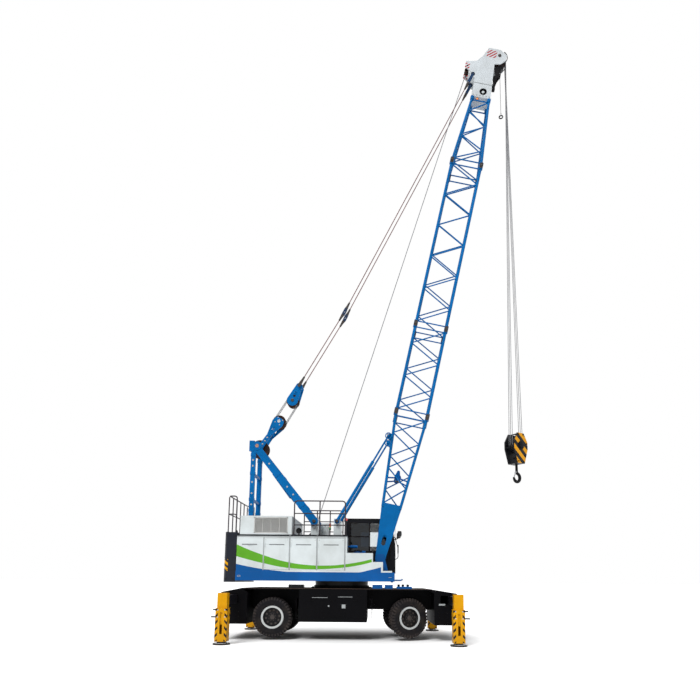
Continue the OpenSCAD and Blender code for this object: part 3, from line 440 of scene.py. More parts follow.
PENDANT_STEEL = metal("pendant_steel", "#8A6A68", 0.5, 0.5, stain="#5A2A28")
SHEAVE_STEEL = metal("sheave_steel", "#3A2E2A", 0.5, 0.7, stain="#6B3A22")
GRILLE_PAINT = paint("grille_paint", "#C6C7C6", dust=0.1, chips=0.2, gloss=0.5)
DARK_PLASTIC = plastic("dark_plastic", "#17181B")
SEAT_CLOTH = cloth("seat_cloth", "#22252B")
# The panes' dark tint is painted shade of the cab's inside; they are clear from x 0.9 to 1.22 m
CAB_GLASS = glass("cab_glass_pane", "#46586A", "#F0F4F5", 0.9, 1.22)
RED_LENS = lens("red_lens", "#C81E1E")
AMBER_LENS = lens("amber_lens", "#E07A10")
GREEN_LENS = lens("green_lens", "#2E9E4A")
CLEAR_LENS = lens("clear_lens", "#C9CCD0")


def clad(material, *names):
    """Gives CAD nodes a finish."""
    for name in names:
        slots = nodes[name].data.materials
        slots.clear()
        slots.append(material)


def circle(count, first=0.0):
    """Cosine and sine of even steps round a full turn."""
    return [(math.cos(a), math.sin(a)) for a in (2 * math.pi * (k + first) / count for k in range(count))]


def square_to(axis):
    """A unit axis and two more that are square to it and to each other."""
    axis = Vector(axis).normalized()
    side = axis.orthogonal().normalized()
    return axis, side, axis.cross(side)


def spoke(turn, side, other):
    """A unit vector at a share of a full turn from side towards other."""
    return math.cos(2 * math.pi * turn) * side + math.sin(2 * math.pi * turn) * other


def tilted(at, degrees, axis="X"):
    return Matrix.Translation(at) @ Matrix.Rotation(math.radians(degrees), 4, axis)


def two_faces(outline, at, across, up, thick):
    """A flat outline of (across, up) pairs, half a thickness either side of its place."""
    across, up = Vector(across).normalized(), Vector(up).normalized()
    out = across.cross(up)
    return [[Vector(at) + across * a + up * b + out * h for a, b in outline] for h in (-thick / 2, thick / 2)]


class Piece:
    """A mesh under construction, made of many small forms."""

    def __init__(self):
        self.bm = bmesh.new()
        self.done = self.bm.faces.layers.int.new("done")

    def mark(self, index):
        """Gives all forms made since the last mark one of the piece's materials."""
        for face in self.bm.faces:
            if not face[self.done]:
                face[self.done] = 1
                face.material_index = index

    def skin(self, rings, closed=False):
        """Faces between rings of as many points each, which close on themselves or get two end caps."""
        rings = [[self.bm.verts.new(spot) for spot in ring] for ring in rings]
        count = len(rings[0])
        for a, b in zip(rings, rings[1:] + rings[:closed]):
            for k in range(count):
                n = (k + 1) % count
                self.bm.faces.new((a[k], a[n], b[n], b[k]))
        return [] if closed else [self.bm.faces.new(rings[0][::-1]), self.bm.faces.new(rings[-1])]

    def bevel(self, edges, offset):
        bmesh.ops.bevel(self.bm, geom=list(edges), offset=offset, segments=2, profile=0.6, affect="EDGES")

    def box(self, low, high, bevel=0.0, turn=None):
        low, high = Vector(low), Vector(high)
        made = bmesh.ops.create_cube(self.bm, size=1.0)["verts"]
        place = Matrix.Translation((low + high) / 2) @ Matrix.Diagonal([abs(c) for c in high - low] + [1])
        bmesh.ops.transform(self.bm, matrix=turn @ place if turn else place, verts=made)
        if bevel:
            self.bevel({e for v in made for e in v.link_edges}, bevel)

    def tube(self, points, radius, sides=10):
        """A round bar along points, mitred at its bends, with one radius or one for each point."""
        points = [Vector(p) for p in points]
        sizes = radius if isinstance(radius, list) else [radius] * len(points)
        rings, side = [], None
        for i, (p, size) in enumerate(zip(points, sizes)):
            run = (points[min(i + 1, len(points) - 1)] - points[max(i - 1, 0)]).normalized()
            side = side or run.cross(UP if abs(run.z) < 0.9 else X)
            side = (side - run * side.dot(run)).normalized()
            rings.append([p + size * spoke(k / sides, side, run.cross(side)) for k in range(sides)])
        self.skin(rings)

    def staple(self, start, end, out, bend, radius, sides=8):
        """A bent bar that stands out between two places."""
        start, end, out = Vector(start), Vector(end), Vector(out)
        self.tube(rounded([start, start + out, end + out, end], bend), radius, sides)

    def lathe(self, centre, axis, profile, sides=48):
        """A closed profile of (radius, distance along the axis) pairs turned about an axis."""
        axis, side, other = square_to(axis)
        self.skin([[Vector(centre) + spoke(k / sides, side, other) * max(r, AXIS) + axis * h for r, h in profile]
                   for k in range(sides)], closed=True)

    def bolt(self, at, axis, size):
        """A hexagon head on a washer."""
        axis, side, other = square_to(axis)
        for radius, start, end, count in ((1.35, 0, 0.2, 16), (1, 0.2, 0.85, 6), (0.8, 0.85, 1.0, 6)):
            self.skin([[Vector(at) + size * (radius * spoke(k / count, side, other) + axis * h)
                        for k in range(count)] for h in (start, end)])

    def bolts(self, centre, axis, side, other, radius, count, size, first=0.0):
        """A circle of bolts."""
        for c, s in circle(count, first):
            self.bolt(Vector(centre) + radius * (c * side + s * other), axis, size)

    def rope(self, start, end, radius, per_turn=8):
        """A rope of six strands: a lobed section that twists along its run."""
        start, run = Vector(start), Vector(end) - Vector(start)
        _, side, other = square_to(run)
        turns = run.length / (ROPE_LAY * 2 * radius)
        steps = max(2, int(turns * per_turn))
        lobes = [radius, radius * 0.8] * 6
        self.skin([[start + run * i / steps + reach * spoke(k / len(lobes) + turns * i / steps, side, other)
                    for k, reach in enumerate(lobes)] for i in range(steps + 1)])

    def plate(self, outline, at, across, up, thick, bevel=0.0):
        """A flat outline of (across, up) pairs, given thickness about its middle."""
        caps = self.skin(two_faces(outline, at, across, up, thick))
        if bevel:
            self.bevel({e for f in caps for e in f.edges}, bevel)

    def holed(self, outer, inner, at, across, up, thick):
        """A flat ring between two outlines with as many points each, given thickness about its middle."""
        low, high = two_faces(outer, at, across, up, thick)
        inner_low, inner_high = two_faces(inner, at, across, up, thick)
        self.skin([low, high, inner_high, inner_low], closed=True)

    def cushion(self, low, high, turn=None):
        """A stuffed block, alone in its piece: a rounded box whose faces swell."""
        low, high, puff = Vector(low), Vector(high), 5.0
        bmesh.ops.create_cube(self.bm, size=2.0)
        bmesh.ops.subdivide_edges(self.bm, edges=self.bm.edges[:], cuts=11, use_grid_fill=True)
        for v in self.bm.verts:
            spot = v.co / sum(abs(c) ** puff for c in v.co) ** (1 / puff)
            v.co = [(a + b) / 2 + c * (b - a) / 2 for a, b, c in zip(low, high, spot)]
        if turn:
            bmesh.ops.transform(self.bm, matrix=turn, verts=self.bm.verts[:])

    def finish(self, name, material, body=None, angle=35):
        """Makes the object with one material or several, and lets it ride on a body."""
        bmesh.ops.recalc_face_normals(self.bm, faces=self.bm.faces)
        self.bm.faces.layers.int.remove(self.done)
        mesh = bpy.data.meshes.new(name)
        self.bm.to_mesh(mesh)
        self.bm.free()
        for one in material if isinstance(material, list) else [material]:
            mesh.materials.append(one)
        for polygon in mesh.polygons:
            polygon.use_smooth = True
        mesh.set_sharp_from_angle(angle=math.radians(angle))
        obj = bpy.data.objects.new(name, mesh)
        bpy.context.scene.collection.objects.link(obj)
        if body:
            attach(obj, body)
        return obj


def rounded(points, radius, steps=5):
    """A path whose inner corners are turned into bends."""
    points = [Vector(p) for p in points]
    path = [points[0]]
    for before, corner, after in zip(points, points[1:], points[2:]):
        a = corner + (before - corner).normalized() * radius
        b = corner + (after - corner).normalized() * radius
        for t in (k / steps for k in range(steps + 1)):
            path.append(a * (1 - t) ** 2 + corner * 2 * t * (1 - t) + b * t * t)
    return path + [points[-1]]


def rectangle(x0, y0, x1, y1):
    return [(x0, y0), (x1, y0), (x1, y1), (x0, y1)]


def pear(near, far, length, count=48):
    """The outline round two circles on the up axis."""
    return [(near * c, near * s) if near >= far + length * s else (far * c, length + far * s)
            for c, s in circle(count)]


def oval(wide, tall, up):
    return [(wide * c, up + tall * s) for c, s in circle(48)]


def around(corners, up):
    """Points of a convex outline seen from a place on the up axis, at even angles."""
    points = []
    for c, s in circle(48):
        reached = []
        for start, end in zip(corners, corners[1:] + corners[:1]):
            first = Vector((start[0], start[1] - up))
            edge = Vector(end) - Vector(start)
            turn = c * edge.y - s * edge.x
            if abs(turn) < 1e-9:
                continue
            far = (first.x * edge.y - first.y * edge.x) / turn
            if far > 0 and -1e-6 <= (first.x * s - first.y * c) / turn <= 1 + 1e-6:
                reached.append(far)
        points.append((c * min(reached), up + s * min(reached)))
    return points


def capped_pin(piece, centre, radius, reach):
    """A cross pin with stepped, domed ends."""
    half = [(radius, reach - 0.03), (radius * 1.35, reach - 0.03), (radius * 1.35, reach - 0.008),
            (radius, reach), (0, reach + 0.004)]
    piece.lathe(centre, Y, [(r, -h) for r, h in reversed(half)] + half, 28)


def socket(piece, at, run):
    """A swaged rope socket that narrows along its run."""
    piece.lathe(at, run, [(0, -0.04), (0.03, -0.04), (0.05, 0.0), (0.052, 0.1), (0.044, 0.12), (0.03, 0.3),
                          (0, 0.3)], 24)


def sheave(piece, centre, radius, wide=0.056, bore=0.05):
    """A rope sheave: rims either side of a round groove, a thin web and a thick hub."""
    half = wide / 2
    groove = [(radius, half), (radius - 0.006, half * 0.72)]
    for k in range(5):
        a = math.pi * (k + 0.5) / 5
        groove.append((radius - 0.012 - 0.024 * math.sin(a), half * 0.62 * math.cos(a)))
    groove += [(radius - 0.006, -half * 0.72), (radius, -half)]
    web = [(radius - 0.05, half), (radius - 0.06, half * 0.35), (bore + 0.06, half * 0.35), (bore + 0.05, half),
           (bore, half)]
    piece.lathe(centre, Y, groove + [(r, -h) for r, h in web] + web[::-1], 56)


def sheaves(piece, centre, radius):
    for y in SHEAVE_YS:
        sheave(piece, centre + Y * y, radius)


def rope_turns(piece, centre, step, count, radius, thick, wide, sides):
    """The turns of a rope on a drum."""
    for k in range(count):
        piece.lathe(Vector(centre) + Y * step * k, Y, [(radius + thick * c, wide * s) for c, s in circle(8)], sides)


# Finishes of the CAD nodes
clad(CARRIER_PAINT, "carrier_frame", "front_axle", "rear_axle", "slew_ring", "tow_jaws", "knuckle_right",
     "knuckle_left")
clad(FRAME_PAINT, "turntable_frame")
clad(FITTING_PAINT, "deck_fittings")
clad(DEEP_PAINT, "winches", "power_block")
clad(HOUSE_PAINT, "house_shell", "house_door_1", "house_door_2", "house_door_3", "step_covers")
clad(PLAIN_WHITE, "cooler_box")
clad(ROOF_PAINT, "house_roof")
clad(WEIGHT_PAINT, "counterweight")
clad(BLUE_PAINT, "gantry", "backstop_barrels", "backstop_rods", "boom_butt", "boom_insert_1", "boom_insert_2",
     "boom_top")
clad(HEAD_PAINT, "boom_head")
clad(CAB_PAINT, "cab_shell", "cab_door")
clad(CAB_GLASS, "cab_glass")
clad(DARK_STEEL, "rope_guide")
for name, sign, side, foot_x in OUTRIGGERS:
    clad(BEAM_PAINT, "beam_" + name)
    clad(jack_paint("jack_paint_" + name, foot_x), "jack_" + name)
clad(block_paint("block_paint"), "hook_block")


def tyre(name):
    """Carcass with sidewall ribs, and two rows of heavy slanted lugs."""
    centre, axis = wheel_place(name)
    piece = Piece()
    half, lugs = 0.17, 38
    wall = [(0.345, 0.72), (0.36, 0.86), (0.385, 0.955), (0.41, 0.975), (0.416, 0.965), (0.43, 0.985), (0.475, 1.0),
            (0.505, 0.975), (0.51, 0.955), (0.53, 0.93), (0.55, 0.88), (0.565, 0.8)]
    piece.lathe(centre, axis, [(r, -w * half) for r, w in wall] + [(r, w * half) for r, w in reversed(wall)], 96)
    piece.mark(0)
    axis, side, other = square_to(axis)
    for row, first in ((-1, 0), (1, 0.5)):
        for k in range(lugs):
            rings = []
            for w, lead, wide, base, top in ((0.1, 0.0, 0.3, 0.555, 0.6), (0.6, 0.4, 0.28, 0.555, 0.6),
                                             (0.985, 0.55, 0.29, 0.508, 0.584)):
                left, right = (spoke((k + lead + edge + first) / lugs, side, other) for edge in (-wide, wide))
                spot = centre + axis * row * half * w
                rings.append([spot + left * base, spot + left * top, spot + right * top, spot + right * base])
            piece.skin(rings)
    piece.mark(1)
    obj = piece.finish("tread_" + name, [RUBBER, TREAD_RUBBER], "wheel_" + name, 30)
    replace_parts(obj, "tyre_" + name)


def wheel_trim(name):
    """Ten wheel bolts, and a stepped hub cap with its own bolts."""
    centre, axis = wheel_place(name)
    clad(rim_paint("rim_paint_" + name, centre, axis), "rim_" + name)
    axis, side, other = square_to(axis)
    bolts = Piece()
    bolts.bolts(centre + axis * 0.046, axis, side, other, 0.205, 10, 0.024)
    bolts.bolts(centre + axis * 0.106, axis, side, other, 0.105, 8, 0.011, 0.5)
    bolts.lathe(centre, axis, [(0, 0.105), (0.075, 0.105), (0.075, 0.125), (0.06, 0.136), (0.03, 0.138), (0, 0.138)],
                32)
    bolts.finish("wheel_bolts_" + name, DARK_STEEL, "wheel_" + name)


for wheel in WHEELS:
    tyre(wheel)
    wheel_trim(wheel)

# Ropes: the hoist line and the falls to the hook block
rope_run = (GUIDE - ROPE_BASE).normalized()
line = Piece()
line.rope(ROPE_BASE - rope_run * 1.15, GUIDE - rope_run * 0.17, 0.014)
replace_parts(line.finish("hoist_rope", ROPE_STEEL, "hoist_line", 60), "hoist_line")

falls = Piece()
for i in (-1, 0, 1):
    for side in SIDES:
        top = Vector((SHEAVE.x + 0.2553, side * 0.07 + i * 0.045, SHEAVE.z))
        falls.rope(top, on_block(side * 0.2503, i * 0.075, 0.06), 0.011, per_turn=6)
hook_falls = falls.finish("hook_falls", ROPE_STEEL, angle=60)
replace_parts(hook_falls, "hoist_falls")
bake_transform(hook_falls)

# Gantry head, bail and upper block, with the ropes that lift the boom
gantry_head = Piece()
sheaves(gantry_head, APEX, 0.3)
gantry_head.mark(0)
capped_pin(gantry_head, APEX, 0.044, 0.625)
gantry_head.mark(1)
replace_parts(gantry_head.finish("gantry_head", [SHEAVE_STEEL, COPPER], "upperworks", 40), "gantry_sheaves")

lift = (BAIL - APEX).normalized()
across_lift = lift.cross(Y)
reach = (BAIL - APEX).length
bail_piece = Piece()
cheek = [(-0.06, 0.45), (0.06, 0.45), (0.2, 0.93), (0.15, 1.1), (-0.15, 1.1), (-0.2, 0.93)]
cheek = [(a, b * reach) for a, b in cheek]
for side in SIDES:
    at = APEX + Y * side * 0.185
    bail_piece.holed(pear(0.095, 0.066, reach * 0.62), oval(0.0465, 0.0465, 0.0), at, across_lift, lift, 0.03)
    bail_piece.holed(around(cheek, reach * 0.7), oval(0.042, 0.085, reach * 0.7), at + Y * side * 0.017,
                     across_lift, lift, 0.02)
bail_piece.mark(0)
sheaves(bail_piece, BAIL, 0.22)
bail_piece.mark(1)
capped_pin(bail_piece, BAIL, 0.04, 0.222)
for side in SIDES:
    bail_piece.bolts(BAIL + Y * side * 0.212, Y * side, across_lift, lift, 0.13, 4, 0.014, 0.5)
    for share in (0.16, 0.28, 0.4):
        bail_piece.bolt(APEX + Y * side * 0.2 + lift * reach * share, Y * side, 0.02)
bail_piece.mark(2)
for share in (0.52, 0.7):
    bail_piece.plate(rectangle(-0.17, -0.07, 0.17, 0.07), APEX + lift * reach * share, Y, lift, 0.016, 0.003)
bail_piece.mark(3)
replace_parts(bail_piece.finish("bail_frame", [BLUE_PAINT, SHEAVE_STEEL, BRIGHT_STEEL, PALE_BLUE], "bail", 40), "bail")

ties = Piece()
tie = (YOKE - UPPER_BLOCK).normalized()
tie_length = (YOKE - UPPER_BLOCK).length
for side in SIDES:
    ties.holed(pear(0.19, 0.11, tie_length), oval(0.055, 0.11, tie_length * 0.42),
               UPPER_BLOCK + Y * side * 0.185, tie.cross(Y), tie, 0.03)
ties.mark(0)
sheaves(ties, UPPER_BLOCK, 0.21)
ties.mark(1)
capped_pin(ties, UPPER_BLOCK, 0.04, 0.222)
capped_pin(ties, YOKE, 0.04, 0.3)
ties.mark(2)
lower_run = (MIDDLE - YOKE).normalized()
upper_run = (LUG - MIDDLE).normalized()
for off in (Y * -TIE_Y, Y * TIE_Y):
    ties.rope(YOKE + off + lower_run * 0.2, MIDDLE + off - lower_run * 0.2, 0.018, per_turn=6)
    ties.rope(MIDDLE + off + upper_run * 0.2, LUG + off - upper_run * 0.6, 0.018, per_turn=6)
ties.mark(3)
for off in (Y * -TIE_Y, Y * TIE_Y):
    socket(ties, YOKE + off + lower_run * 0.06, lower_run)
    socket(ties, MIDDLE + off - lower_run * 0.07, -lower_run)
    socket(ties, MIDDLE + off + upper_run * 0.07, upper_run)
    socket(ties, LUG + off - upper_run * 0.4, -upper_run)
ties.mark(4)
for off in (Y * -TIE_Y, Y * TIE_Y):
    for side in SIDES:
        ties.holed(pear(0.05, 0.05, 0.2), oval(0.018, 0.04, 0.1), MIDDLE + off + Y * side * 0.035 - upper_run * 0.1,
                   upper_run.cross(Y), upper_run, 0.014)
        ties.holed(pear(0.045, 0.048, 0.45), oval(0.025, 0.025, 0.45),
                   LUG + off + Y * side * 0.031 - upper_run * 0.45, upper_run.cross(Y), upper_run, 0.018)
        for along in (-0.1, 0.1):
            ties.bolt(MIDDLE + off + Y * side * 0.042 + upper_run * along, Y * side, 0.022)
ties.mark(5)
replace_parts(ties.finish("boom_ties", [BLUE_PAINT, SHEAVE_STEEL, DARK_STEEL, PENDANT_STEEL, DARK_STEEL, TIE_PAINT],
                        "pendants", 40), "pendants")

lift_falls = Piece()
between = (UPPER_BLOCK - BAIL).normalized()
beside = between.cross(Y)
for y in SHEAVE_YS:
    for side in SIDES:
        lift_falls.rope(BAIL + Y * y + beside * side * 0.203, UPPER_BLOCK + Y * y + beside * side * 0.193, 0.008,
                        per_turn=5)
lifting = lift_falls.finish("lifting_falls", ROPE_STEEL, angle=60)
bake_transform(lifting)

lead = Piece()
for y in (-0.035, 0.035):
    lead.rope(APEX + Vector((-0.29, y, 0)), Vector((-3.0, y, 3.78)), 0.008, per_turn=5)
lead.box((-3.06, -0.09, 3.768), (-2.94, 0.09, 3.8), 0.01)
lead.finish("lifting_lead", ROPE_STEEL, "upperworks", 60)

gantry_trim = Piece()
leg_foot, leg_top = Vector((-2.95, 0, 3.78)), APEX + Vector((-0.11, 0, 0.06))
strut_foot = Vector((-0.9, 0, 3.695))
LEG_Y = 0.555
for side in SIDES:
    for place, radius, reach in (((-0.9, side * 0.54, 3.695), 0.041, 0.1), ((-0.16, side * 0.52, 3.7), 0.041, 0.1),
                                 ((-2.27, side * 0.455, 5.27), 0.025, 0.085),
                                 ((-1.67, side * 0.455, 4.47), 0.025, 0.085)):
        capped_pin(gantry_trim, place, radius, reach)
gantry_trim.mark(0)
for side in SIDES:
    for foot, shares, size in ((leg_foot, (0.1, 0.25, 0.6, 0.85), 0.085), (strut_foot, (0.2, 0.6), 0.13)):
        run = (leg_top - foot).normalized()
        for share in shares:
            spot = foot + (leg_top - foot) * share + Y * side * LEG_Y
            gantry_trim.plate(rectangle(-size, -0.05, size, 0.05), spot, run.cross(Y), run, 0.118, 0.006)
    for dx in (-0.11, 0.11):
        for dy in (-0.075, 0.075):
            gantry_trim.bolt(leg_foot + Vector((dx, side * LEG_Y + dy, 0.02)), UP, 0.016)
gantry_trim.mark(1)
for side in SIDES:
    for foot, face, shares in ((leg_foot, 0.604, (0.18, 0.33, 0.48, 0.7, 0.78)),
                               (strut_foot, 0.599, (0.34, 0.44, 0.74))):
        for share in shares:
            gantry_trim.bolt(foot + (leg_top - foot) * share + Y * side * face, Y * side, 0.022)
gantry_trim.mark(2)
gantry_trim.finish("gantry_trim", [DARK_STEEL, BLUE_PAINT, BRIGHT_STEEL], "upperworks", 40)

# Boom head: sheaves, guard, ringed opening, seams and lamp
head = Piece()
sheaves(head, SHEAVE, 0.245)
for y in (-0.05, 0.05):
    sheave(head, GUIDE + Y * y, 0.075, 0.09, 0.02)
head.mark(0)
capped_pin(head, SHEAVE, 0.044, 0.29)
capped_pin(head, GUIDE, 0.024, 0.28)
head.mark(1)
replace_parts(head.finish("head_rollers", [SHEAVE_STEEL, DARK_STEEL], "boom", 40), "head_sheaves")

head_trim = Piece()
guard = [SHEAVE + 0.3 * spoke((60 - 12 * k) / 360, OUT, ALONG) for k in range(11)]
for side in SIDES:
    eye = on_boom(HEAD_S + 0.27, 0.035, side * 0.272)
    head_trim.lathe(eye, Y * side, [(0.098, -0.03), (0.13, -0.03), (0.135, 0.002), (0.125, 0.012), (0.104, 0.012)], 40)
    head_trim.bolts(eye + Y * side * 0.01, Y * side, OUT, ALONG, 0.115, 8, 0.009)
    head_trim.tube([spot + Y * side * 0.19 for spot in guard], 0.014, 8)
    head_trim.lathe(LUG + Y * side * TIE_Y, Y, rectangle(0.042, -0.029, 0.075, 0.029), 28)
for k in (0, 2, 8, 10):
    head_trim.tube([guard[k] - Y * 0.19, guard[k] + Y * 0.19], 0.012, 8)
head_trim.mark(0)
for side in SIDES:
    head_trim.plate(rectangle(-0.36, -0.011, 0.3, 0.011), on_boom(HEAD_S + 0.59, 0, side * 0.273), OUT, ALONG, 0.008)
    for k in range(6):
        head_trim.bolt(on_boom(HEAD_S + 0.09, -0.3 + 0.12 * k, side * 0.27), Y * side, 0.014)
head_trim.mark(1)
for side in SIDES:
    head_trim.lathe(on_boom(HEAD_S + 0.27, 0.035, side * 0.24), Y * side,
                    [(0, 0), (0.05, 0), (0.05, 0.008), (0.03, 0.016), (0, 0.018)], 32)
head_trim.mark(2)
head_trim.lathe(on_boom(HEAD_S - 0.06, -0.12, -0.22), -Y,
                [(0, 0), (0.05, 0), (0.05, 0.03), (0.035, 0.055), (0, 0.06)], 24)
head_trim.mark(3)
rope_guard = [(0.24, 0.26), (0.43, 0.3), (0.55, 0.42), (0.56, 0.22), (0.46, 0.0), (0.4, -0.42), (0.34, -0.42),
              (0.33, -0.04)]
for side in SIDES:
    head_trim.lathe(on_boom(HEAD_S + 0.27, 0.035, side * 0.225), Y * side, rectangle(0, 0, 0.106, 0.006), 32)
    head_trim.plate(rope_guard, on_boom(HEAD_S + 1.2, 0, side * 0.2), OUT, ALONG, 0.016, 0.003)
for along, n in ((0.84, 0.37), (1.1, 0.38), (1.34, 0.47)):
    head_trim.tube([on_boom(HEAD_S + along, n, -0.2), on_boom(HEAD_S + along, n, 0.2)], 0.02)
head_trim.box((-0.045, -0.07, -0.15), (0.045, 0.07, 0.09), 0.012,
              Matrix.Translation(on_boom(HEAD_S + 0.66, 0.37, -0.13)))
hose = [on_boom(HEAD_S + along, n, y) for along, n, y in ((0.8, 0.37, -0.13), (0.95, 0.42, -0.16), (1.2, 0.42, -0.19))]
head_trim.tube(rounded(hose, 0.05), 0.01, 8)
head_trim.mark(0)
head_trim.finish("head_trim", [BLACK_PAINT, PALE_TRIM, PLAIN_WHITE, AMBER_LENS], "boom", 40)

# Pins at the boom's section joints, and the drum inside its foot
joints = Piece()
for along in (4.88, 8.05, 14.36):
    for n in (-0.53, 0.53):
        for y in (-0.46, 0.46):
            spot = on_boom(along, n, y)
            capped_pin(joints, spot, 0.026, 0.1)
            for side in SIDES:
                joints.holed(pear(0.062, 0.062, 0.1), oval(0.027, 0.027, 0.05),
                             spot + Y * side * 0.073 - ALONG * 0.05, OUT, ALONG, 0.01)
                joints.bolt(spot + Y * side * 0.078 + ALONG * 0.085, Y * side, 0.01)
joints.finish("boom_joints", [DARK_STEEL], "boom", 40)
drum = Piece()
for side in SIDES:
    drum.plate(pear(0.1, 0.05, 0.2, 32), on_boom(2.7, -0.02, side * 0.3), OUT, ALONG, 0.03, 0.004)
    for n in (-0.34, 0.34):
        drum.tube([on_boom(2.62, n, side * 0.42), on_boom(2.7, 0.0, side * 0.31)], 0.026, 8)
spool = [(0, 0.32), (0.04, 0.32), (0.04, 0.26), (0.105, 0.26), (0.105, 0.23), (0.075, 0.22)]
drum.lathe(on_boom(2.72, 0), Y, [(r, -h) for r, h in spool] + spool[::-1], 36)
drum.mark(0)
rope_turns(drum, on_boom(2.72, 0, -0.2), 0.02, 21, 0.075, 0.014, 0.009, 36)
drum.mark(1)
drum.finish("boom_drum", [DEEP_PAINT, ROPE_STEEL], "boom", 40)

# House: railings, grilles, door furniture, seams, lights
rails = Piece()


def handrail(x0, x1, y, posts):
    """Bent top rail that turns down into its end posts, lower rails, inner posts and foot plates."""
    low, middle, top = 0.31, 0.67, 1.065
    rails.staple((x0, y, ROOF), (x1, y, ROOF), UP * top, 0.11, 0.02, 12)
    for h in (low, middle):
        rails.tube([(x0, y, ROOF + h), (x1, y, ROOF + h)], 0.017)
    for k in range(posts):
        x = x0 + (x1 - x0) * k / (posts - 1)
        if 0 < k < posts - 1:
            rails.tube([(x, y, ROOF), (x, y, ROOF + top)], 0.02, 12)
        rails.box((x - 0.06, y - 0.045, ROOF), (x + 0.06, y + 0.045, ROOF + 0.012), 0.003)
        for dx in (-0.042, 0.042):
            rails.bolt((x + dx, y, ROOF + 0.011), UP, 0.009)


handrail(-1.44, 0.15, -RAIL_Y, 3)
handrail(-1.44, -0.06, RAIL_Y, 4)
CAGE_REAR, CAGE_FRONT = -3.48, -3.24
for height, radius in ((0.5675, 0.017), (1.135, 0.02)):
    z = WEIGHT_TOP + height
    hoop = [(CAGE_FRONT, -RAIL_Y, WEIGHT_TOP), (CAGE_FRONT, -RAIL_Y, z), (CAGE_REAR, -RAIL_Y, z),
            (CAGE_REAR, RAIL_Y, z), (CAGE_FRONT, RAIL_Y, z), (CAGE_FRONT, RAIL_Y, WEIGHT_TOP)]
    rails.tube(rounded(hoop, 0.09), radius, 12)
for k in range(6):
    y = RAIL_Y * (2 * k / 5 - 1)
    rails.tube([(CAGE_REAR, y, WEIGHT_TOP), (CAGE_REAR, y, WEIGHT_TOP + (1.1 if k in (0, 5) else 1.135))], 0.018)
    rails.box((CAGE_REAR - 0.04, y - 0.05, WEIGHT_TOP), (CAGE_REAR + 0.04, y + 0.05, WEIGHT_TOP + 0.012), 0.003)
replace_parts(rails.finish("handrails", RAIL_PAINT, "upperworks", 40), "railings")

louvres = Piece()
GRILLE_X0, GRILLE_X1, GRILLE_Z0, GRILLE_Z1 = -2.67, -1.62, 3.23, 3.73
for side in SIDES:
    y = side * 1.38
    x0, x1, z0, z1 = GRILLE_X0 + 0.001, GRILLE_X1 - 0.001, GRILLE_Z0 + 0.001, GRILLE_Z1 - 0.001
    for bx0, bz0, bx1, bz1 in ((x0, z0, x1, z0 + 0.033), (x0, z1 - 0.033, x1, z1), (x0, z0, x0 + 0.033, z1),
                               (x1 - 0.033, z0, x1, z1)):
        louvres.box((bx0, y - side * 0.036, bz0), (bx1, y, bz1), 0.003)
    for k in range(36):
        z = GRILLE_Z0 + 0.036 + (GRILLE_Z1 - GRILLE_Z0 - 0.072) * (k + 0.5) / 36
        louvres.box((GRILLE_X0 + 0.03, -0.011, -0.0016), (GRILLE_X1 - 0.03, 0.011, 0.0016),
                    turn=tilted((0, y - side * 0.018, z), side * 38))
    for k in range(1, 4):
        x = GRILLE_X0 + (GRILLE_X1 - GRILLE_X0) * k / 4
        louvres.box((x - 0.006, y - side * 0.03, GRILLE_Z0 + 0.02), (x + 0.006, y - side * 0.004, GRILLE_Z1 - 0.02),
                    0.001)
louvres.mark(0)
for side in SIDES:
    louvres.box((-2.66, side * 1.346, 3.24), (-1.63, side * 1.35, 3.72))
louvres.mark(1)
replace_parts(louvres.finish("cooler_louvres", [GRILLE_PAINT, RAIL_PAINT], "upperworks"), "cooler_grille")

lights = Piece()
COLUMN, BEACON, HORN = Vector((-0.47, 0.7, ROOF)), Vector((0.15, -0.9, ROOF)), Vector((-1.33, -0.9, ROOF))
lights.box((-1.12, 0.76, ROOF), (-0.53, 1.15, 3.76), 0.014)
for k in range(9):
    for y, tilt in ((0.76, 35), (1.15, -35)):
        lights.box((-0.25, -0.012, -0.003), (0.25, 0.012, 0.003), turn=tilted((-0.825, y, 3.43 + 0.034 * k), tilt))
lights.mark(0)
lights.lathe(COLUMN, UP, [(0, 0), (0.045, 0), (0.045, 0.015), (0.014, 0.03), (0.014, 0.32), (0.032, 0.33),
                          (0.032, 0.36), (0, 0.36)], 24)
lights.lathe(COLUMN, UP, [(0, 0.54), (0.033, 0.54), (0.03, 0.556), (0, 0.56)], 24)
lights.lathe(BEACON, UP, [(0, 0), (0.05, 0), (0.05, 0.012), (0.02, 0.03), (0.02, 0.45), (0.058, 0.46),
                          (0.06, 0.49), (0, 0.49)], 28)
lights.lathe(HORN, UP, [(0, 0), (0.04, 0), (0.04, 0.01), (0.02, 0.02), (0.02, 0.12), (0, 0.12)], 20)
lights.lathe(HORN + Vector((0, 0.08, 0.16)), -Y, [(0, 0), (0.05, 0), (0.055, 0.03), (0.04, 0.045), (0.05, 0.09),
                                                  (0.09, 0.14), (0.082, 0.14), (0.042, 0.09), (0, 0.085)], 32)
lights.mark(1)
for index, start in ((4, 0.362), (3, 0.422), (2, 0.482)):
    lights.lathe(COLUMN + UP * start, UP, [(0, 0), (0.029, 0), (0.031, 0.004), (0.031, 0.053), (0.029, 0.057),
                                           (0, 0.057)], 24)
    lights.mark(index)
lights.lathe(BEACON, UP, [(0, 0.491), (0.054, 0.491), (0.055, 0.53), (0.045, 0.565), (0.02, 0.578), (0, 0.58)], 28)
lights.mark(2)
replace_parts(lights.finish("roof_signals", [PLAIN_WHITE, DARK_PLASTIC, RED_LENS, AMBER_LENS, GREEN_LENS], "upperworks"),
            "signal_lights")

